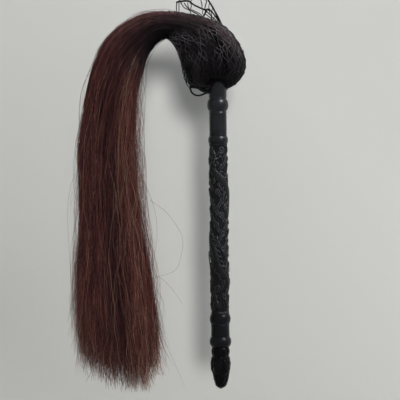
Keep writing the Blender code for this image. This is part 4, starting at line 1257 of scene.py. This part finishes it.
class Carving:
    """Height field round the grip. Rows run down it by s, columns round it by arc length u."""

    def __init__(self, length, rows=430, columns=224):
        self.length = length
        self.around = TAU * GRIP_RADIUS
        self.s = np.linspace(0, length, rows)[:, None]
        self.u = np.arange(columns)[None] / columns * self.around
        self.height = np.zeros((rows, columns))

    def off(self, u):
        """Distance of each column from u, the shorter way round."""
        return (self.u - u + self.around / 2) % self.around - self.around / 2

    def near(self, path, reach):
        """Distance, place along and side of the nearest point of a path, inside a window of rows."""
        path = np.asarray(path, float)
        rows = np.where((self.s > path[:, 1].min() - reach) & (self.s < path[:, 1].max() + reach))[0]
        best = np.full((len(rows), self.u.size), np.inf)
        along, side = 0 * self.height[rows], 0 * self.height[rows]
        steps = np.diff(path, axis=0)
        lengths = np.maximum(np.hypot(steps[:, 0], steps[:, 1]), 1e-9)
        starts = np.concatenate([[0], np.cumsum(lengths)])
        for (u, s), (du, ds), length, start in zip(path, steps, lengths, starts):
            off_u, off_s = self.off(u), self.s[rows] - s
            f = clamp((off_u * du + off_s * ds) / length**2)
            gap = np.hypot(off_u - f * du, off_s - f * ds)
            closer = gap < best
            best = np.where(closer, gap, best)
            along = np.where(closer, start + f * length, along)
            side = np.where(closer, np.sign(off_u * ds - off_s * du), side)
        return rows, best, along / starts[-1], side, starts[-1]

    def ridge(self, path, width, height, cut=False):
        """Raises or cuts a rounded ridge. Width and height are values spread evenly along it."""
        width, height = np.atleast_1d(width), np.atleast_1d(height)
        rows, gap, along, _, _ = self.near(path, 1.2 * width.max())
        wide, high = (np.interp(along, np.linspace(0, 1, len(sizes)), sizes) for sizes in (width, height))
        raised = high * clamp(1 - (gap / np.maximum(wide, 1e-6)) ** 2) ** 0.5
        held = self.height[rows]
        self.height[rows] = held - raised if cut else np.maximum(held, raised)

    def stroke(self, route, per_span, width, height, cut=False):
        """A ridge along the smooth curve through a route's points."""
        self.ridge(smooth_route(route, per_span), width, height, cut)

    def dome(self, u, s, size_u, size_s, height):
        off = (self.off(u) / size_u) ** 2 + ((self.s - s) / size_s) ** 2
        self.height = np.maximum(self.height, height * np.sqrt(clamp(1 - off)))


def scroll(u, s, size, turn, opening):
    """A cloud's spiral: from its outer end in to the eye."""
    share = np.linspace(0, 1, 34)
    radius = size * (1 - 0.78 * share)
    angle = opening + turn * 1.45 * TAU * share
    return np.stack([u + radius * np.cos(angle), s + radius * np.sin(angle)], -1)


def carve_clouds(carving):
    """Rows of scrolls with trailing tails, over the whole grip."""
    chance = np.random.default_rng(17)
    run = np.linspace(0, 1, 14)
    for row in range(CLOUD_ROWS):
        for column in range(CLOUD_COLUMNS):
            u = (column + 0.5 * (row % 2) + chance.uniform(-0.2, 0.2)) * carving.around / CLOUD_COLUMNS
            level = CLOUD_FIRST_S + row * CLOUD_STEP + chance.uniform(-0.002, 0.002)
            size = chance.uniform(0.003, 0.0046)
            turn = chance.choice([-1, 1])
            opening = chance.uniform(0, TAU)
            height = chance.uniform(0.0005, 0.0011)
            carving.dome(u, level, size * 1.15, size * 1.1, height)
            carving.ridge(scroll(u, level, size, turn, opening), 0.00085, (height + 0.0006, height + 0.0009))
            for drop in (0, 0.0017):
                tail = np.stack([
                    u + turn * (size * 0.7 + 0.0065 * run - drop),
                    level + size * 0.5 + drop + 0.0024 * np.sin(3.2 * run) + 0.008 * run**1.3,
                ], -1)
                carving.ridge(tail, (0.0011, 0.001, 0.0004), (height + 0.0006, height + 0.0004, 0.0004))


def dragon_body():
    """The dragon's centre line: it winds down the grip from its head to its tail."""
    s = DRAGON_TOP_S + (DRAGON_END_S - DRAGON_TOP_S) * np.linspace(0, 1, 120)
    run = TAU * (s - DRAGON_TOP_S)
    angle = DRAGON_ANGLE + run / DRAGON_PITCH + 0.42 * np.sin(run / DRAGON_SWAY)
    return np.stack([angle * GRIP_RADIUS, s], -1)


def carve_body(carving, body):
    """Round body with scales in staggered rows on the back, plates across the belly and a spine."""
    rows, gap, along, side, total = carving.near(body, 0.009)
    w = np.interp(along, np.linspace(0, 1, len(BODY_WIDTHS)), BODY_WIDTHS)
    across, run = gap / w, along * total
    signed = across * side
    round_body = 0.0024 * np.sqrt(clamp(1 - across**2)) * np.clip(w / 0.0045, 0.35, 1)
    lane = signed / 0.34
    scale = (run / SCALE_LENGTH + 0.5 * (np.floor(lane) % 2)) % 1
    lip = np.abs(lane % 1 - 0.5) * 2
    scales = 0.00034 * clamp(1 - scale - 0.35 * lip**2)
    plates = 0.0003 * np.abs(np.sin(math.pi * run / PLATE_LENGTH)) ** 0.5
    skin = np.where(signed > 0.55, plates, scales) * (across < 0.96)
    spine = 0.0009 * clamp(1 - np.abs(signed + 0.92) / 0.16) * (0.45 + 0.55 * ((run / SPINE_LENGTH) % 1))
    raised = round_body + skin * clamp(w / 0.004) + spine
    moat = 0.0005 * clamp(1 - np.abs(across - 1.18) / 0.16)
    held = carving.height[rows]
    carving.height[rows] = np.where(across < 1.1, np.maximum(raised, 0.4 * held), held) - moat


def ahead_and_out(body, k):
    """Directions along the body at its point k, and to one side of it."""
    ahead = unit(body[min(k + 1, len(body) - 1)] - body[k - 1])
    return ahead, np.array([-ahead[1], ahead[0]])


def carve_back(carving, body):
    """Tufts of flame along both sides and a row of beads along the back."""
    for k in range(4, 112, 5):
        ahead, out = ahead_and_out(body, k)
        for turn in (-1, 1):
            side = out * turn
            root = body[k] + side * 0.0045
            tuft = root, root + side * 0.0022 + ahead * 0.0012, root + side * 0.0034 + ahead * 0.0046
            carving.stroke(tuft, 5, (0.0012, 0.0009, 0.0003), (0.0021, 0.0018, 0.0008))
    for k in range(2, 118, 2):
        out = ahead_and_out(body, k)[1]
        bead = body[k] - out * 0.62 * np.interp(k, (0, 60, 119), (0.0048, 0.0058, 0.0015))
        carving.dome(*bead, 0.00085, 0.00085, 0.0027)


def carve_legs(carving, body):
    """Four legs, each with four claws."""
    for at, lean in ((0.16, 1), (0.3, -1), (0.62, 1), (0.8, -1)):
        k = int(at * 119)
        start = body[k]
        ahead, out = ahead_and_out(body, k)
        out = out * lean
        knee = start + out * 0.0085 + ahead * 0.002
        foot = knee + out * 0.0025 + (0, 0.0075 if at < 0.5 else -0.0075)
        leg = start, start + out * 0.005, knee, foot
        carving.stroke(leg, 8, (0.0027, 0.0024, 0.0015), (0.0022, 0.0019, 0.0015))
        x, y = unit(foot - knee)
        for spread in (-0.9, -0.3, 0.3, 0.9):
            c, s = math.cos(spread), math.sin(spread)
            way = np.array([x * c - y * s, x * s + y * c])
            bent = np.array([way[1], -way[0]]) * 0.0008
            claw = foot, foot + way * 0.0022 + bent, foot + way * 0.0042
            carving.stroke(claw, 5, (0.0009, 0.0008, 0.0003), (0.0017, 0.0015, 0.0007))


def carve_head(carving, neck):
    """Skull, snout, brows, horns, mane, whiskers and mouth."""
    skull = neck + (-0.001, -0.0045)
    snout = skull + (0.004, -0.0105)
    carving.dome(*skull, 0.0062, 0.007, 0.0027)
    carving.ridge((skull, (skull + snout) / 2, snout), (0.005, 0.0036, 0.0033), (0.0027, 0.0023, 0.0021))
    carving.dome(*(snout + (0.0006, 0.0002)), 0.0036, 0.0028, 0.0026)
    for turn in (-1, 1):
        carving.dome(skull[0] + 0.0016 + turn * 0.0026, skull[1] - 0.0024, 0.0016, 0.0017, 0.0031)
        horn = skull + ((0, 0), (turn * 0.0042, 0.0042), (turn * 0.0058 - 0.001, 0.0125))
        carving.stroke(horn, 6, (0.0013, 0.0011, 0.0005), (0.003, 0.0026, 0.0012))
        for k in range(4):
            lean = turn * (0.005 + 0.0016 * k)
            lock = skull + (
                (turn * 0.0045, 0.001 * k), (lean, 0.006 + 0.001 * k),
                (lean + turn * 0.0018, 0.0105 + 0.0012 * k), (lean + turn * 0.0048, 0.0145),
            )
            carving.stroke(lock, 6, (0.0008, 0.0009, 0.0003), (0.0021, 0.0017, 0.0008))
        whisker = snout + (
            (turn * 0.0025, 0.0008), (turn * 0.0078, -0.003), (turn * 0.0105, 0.0045), (turn * 0.015, 0.007),
        )
        carving.stroke(whisker, 8, (0.0008, 0.0006, 0.0003), (0.002, 0.0016, 0.0008))
    mouth = snout + (0.0032, 0.0008), snout + (0.0006, 0.0034), skull + (0.0036, -0.0016)
    carving.stroke(mouth, 6, 0.0005, 0.0012, cut=True)


def carve_outline(carving):
    """Swellings that the photographed outline shows, brushed ground and banded ends."""
    for degrees, level, size, height in SWELLINGS:
        off_u = carving.off(math.radians(degrees) * GRIP_RADIUS)
        off = (off_u / SWELLING_WIDTH) ** 2 + ((carving.s - level) / size) ** 2
        carving.height = carving.height + height * np.exp(-off)
    flow = np.sin(carving.u * 30 / GRIP_RADIUS + 2 * np.sin(carving.s / 0.0045))
    carving.height = carving.height + 0.00028 * flow * (carving.height < 0.0005)
    from_end = np.minimum(carving.s, carving.length - carving.s)
    band = 0.0011 * np.exp(-((np.maximum(from_end - 0.0014, 0) / 0.0012) ** 2))
    carving.height = carving.height * clamp(from_end / 0.0035) + band


# A tendril that stands off the grip's left side, from the handle's axis
TENDRIL = metres((
    (-108, -6, -3500), (-128, -10, -3530), (-128, -10, -3600), (-118, -8, -3680), (-112, -4, -3740),
))


def make_grip(material):
    """Dragon in clouds: a scaled body winds down the grip, with legs, mane and scrolls in the ground."""
    top, bottom = seat("carved_grip")
    carving = Carving(top - bottom)
    body = dragon_body()
    carve_clouds(carving)
    carve_body(carving, body)
    carve_back(carving, body)
    carve_legs(carving, body)
    carve_head(carving, body[0])
    carve_outline(carving)

    height, angle = carving.height, carving.u / GRIP_RADIUS
    blind_top, blind_bottom = top - 0.0303, bottom + 0.0353
    upper = np.array([(POINT_RADIUS, blind_top), (BORE_RADIUS, blind_top), (BORE_RADIUS, top)])
    lower = np.array([(BORE_RADIUS, bottom), (BORE_RADIUS, blind_bottom), (POINT_RADIUS, blind_bottom)])
    radius = np.concatenate([upper[:, :1] + 0 * angle, GRIP_GROUND + height, lower[:, :1] + 0 * angle])
    points = on_handle(radius, angle, np.concatenate([upper[:, 1:], top - carving.s, lower[:, 1:]]))
    smooth = height
    for shift in (1, 2, 4):
        smooth = sum((np.roll(smooth, way * shift, axis) for axis in (1, 0) for way in (1, -1)), smooth) / 5
    # Crests that stand above their surroundings are lighter: partly rubbed lacquer, partly painted highlight.
    wear_and_highlight = clamp(0.26 + (height - smooth) / 0.0007 + height / 0.013)
    wear_and_highlight = np.pad(wear_and_highlight, ((len(upper), len(lower)), (0, 0)))
    lacquered(loft("grip", points[:, ::-1], material, {"wear_and_highlight": wear_and_highlight[:, ::-1]}), 75, "carved_grip")

    line = smooth_route(np.array(TENDRIL) + (HANDLE_X, 0, 0), 8)
    taper = np.interp(np.arange(len(line)), (0, len(line) / 2, len(line) - 1), (0.001, 0.0007, 0.0009))
    strand = tubes("grip_tendril", cord_rings(line, taper, 10), material, {"wear_and_highlight": 0.5})
    attach(strand, "handle", "lacquered_wood")


def dress_hidden_nodes():
    """Pieces inside the head and the handle keep their solids and get their own finish."""
    wood, thread = bare_wood_material(), net_material()
    thread.name = "binding_thread"
    looks = {
        "upper_dowel": wood, "lower_dowel": wood, "head_core": wood,
        "root_hair": mass_material(), "root_binding": thread,
    }
    for node, look in looks.items():
        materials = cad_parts[node].data.materials
        materials.clear()
        materials.append(look)


# Stage, lights and camera


def make_stage():
    """Studio sweep: a pale wall behind the whisk that curves into a pale floor below it."""
    wall_y, floor_z, cove = 0.29, -1.1, 0.28
    profile = [(-3, floor_z)]
    for k in range(17):
        turn = k / 16 * math.pi / 2
        profile.append((wall_y - cove + cove * math.sin(turn), floor_z + cove - cove * math.cos(turn)))
    profile.append((wall_y, 2.2))
    points = [(x, y, z) for y, z in profile for x in (-2.5, 2.5)]
    quads = [(2 * k, 2 * k + 1, 2 * k + 3, 2 * k + 2) for k in range(len(profile) - 1)]
    sweep = mesh_piece("sweep", points, quads, [], wall_material())
    return sweep


def make_lights(sweep):
    """A key from the upper right, and a lamp near the camera that lights the wall alone, for its shadows."""
    for name, azimuth, elevation, strength, softness, colour, glossy, wall_state in (
        ("front_light", 4, 3.5, 0.8, 8, (1, 0.99, 0.97), False, None),
        ("key_light", 50, 40, 1.1, 16, (1, 1, 0.99), True, None),
        ("whisk_light", 50, 40, 1.2, 16, (1, 1, 0.99), True, "EXCLUDE"),
        ("wall_light", 3.6, 3.2, 2.8, 7.5, (1, 0.99, 0.98), False, "INCLUDE"),
    ):
        lamp = bpy.data.lights.new(name, "SUN")
        lamp.energy = strength
        lamp.angle = math.radians(softness)
        lamp.color = colour
        holder = bpy.data.objects.new(name, lamp)
        a, e = math.radians(azimuth), math.radians(elevation)
        toward = Vector((math.sin(a) * math.cos(e), -math.cos(a) * math.cos(e), math.sin(e)))
        holder.rotation_mode = "QUATERNION"
        holder.rotation_quaternion = toward.to_track_quat("Z", "Y")
        holder.visible_glossy = glossy
        bpy.context.scene.collection.objects.link(holder)
        if wall_state:
            group = bpy.data.collections.new(name + "_wall")
            group.objects.link(sweep)
            group.collection_objects[0].light_linking.link_state = wall_state
            holder.light_linking.receiver_collection = group
    world = bpy.data.worlds.new("room")
    world.use_nodes = True
    background = world.node_tree.nodes["Background"]
    background.inputs["Color"].default_value = (0.95, 0.97, 1, 1)
    background.inputs["Strength"].default_value = 0.38
    bpy.context.scene.world = world


def make_camera():
    camera = bpy.data.cameras.new("camera")
    camera.sensor_width = CAMERA_SENSOR
    camera.lens = CAMERA_SENSOR * -CAMERA_AT[1] / CAMERA_VIEW_WIDTH
    camera.clip_end = 20
    holder = bpy.data.objects.new("camera", camera)
    holder.location = CAMERA_AT
    holder.rotation_mode = "XYZ"
    holder.rotation_euler = Vector((0, 1, 0)).to_track_quat("-Z", "Y").to_matrix().to_euler()
    holder.rotation_euler.rotate_axis("Z", CAMERA_ROLL)
    bpy.context.scene.collection.objects.link(holder)
    bpy.context.scene.camera = holder
    bpy.context.scene.view_settings.view_transform = "Standard"


def main():
    make_camera()
    make_lights(make_stage())
    make_strays(make_hair())
    make_net()
    # The lower pieces get lacquer with dark below 1: painted shade, darker towards the bottom of the handle.
    make_turned_lengths(
        lacquer_material("turned_lacquer", False, 0.4),
        lacquer_material("shaded_lower_lacquer", False, 0.15, dark=0.7),
    )
    make_grip(lacquer_material("carved_lacquer", True, 0.21, dark=0.85))
    make_bud(lacquer_material("bud_lacquer", True, 0.08, dark=0.6))
    dress_hidden_nodes()


main()
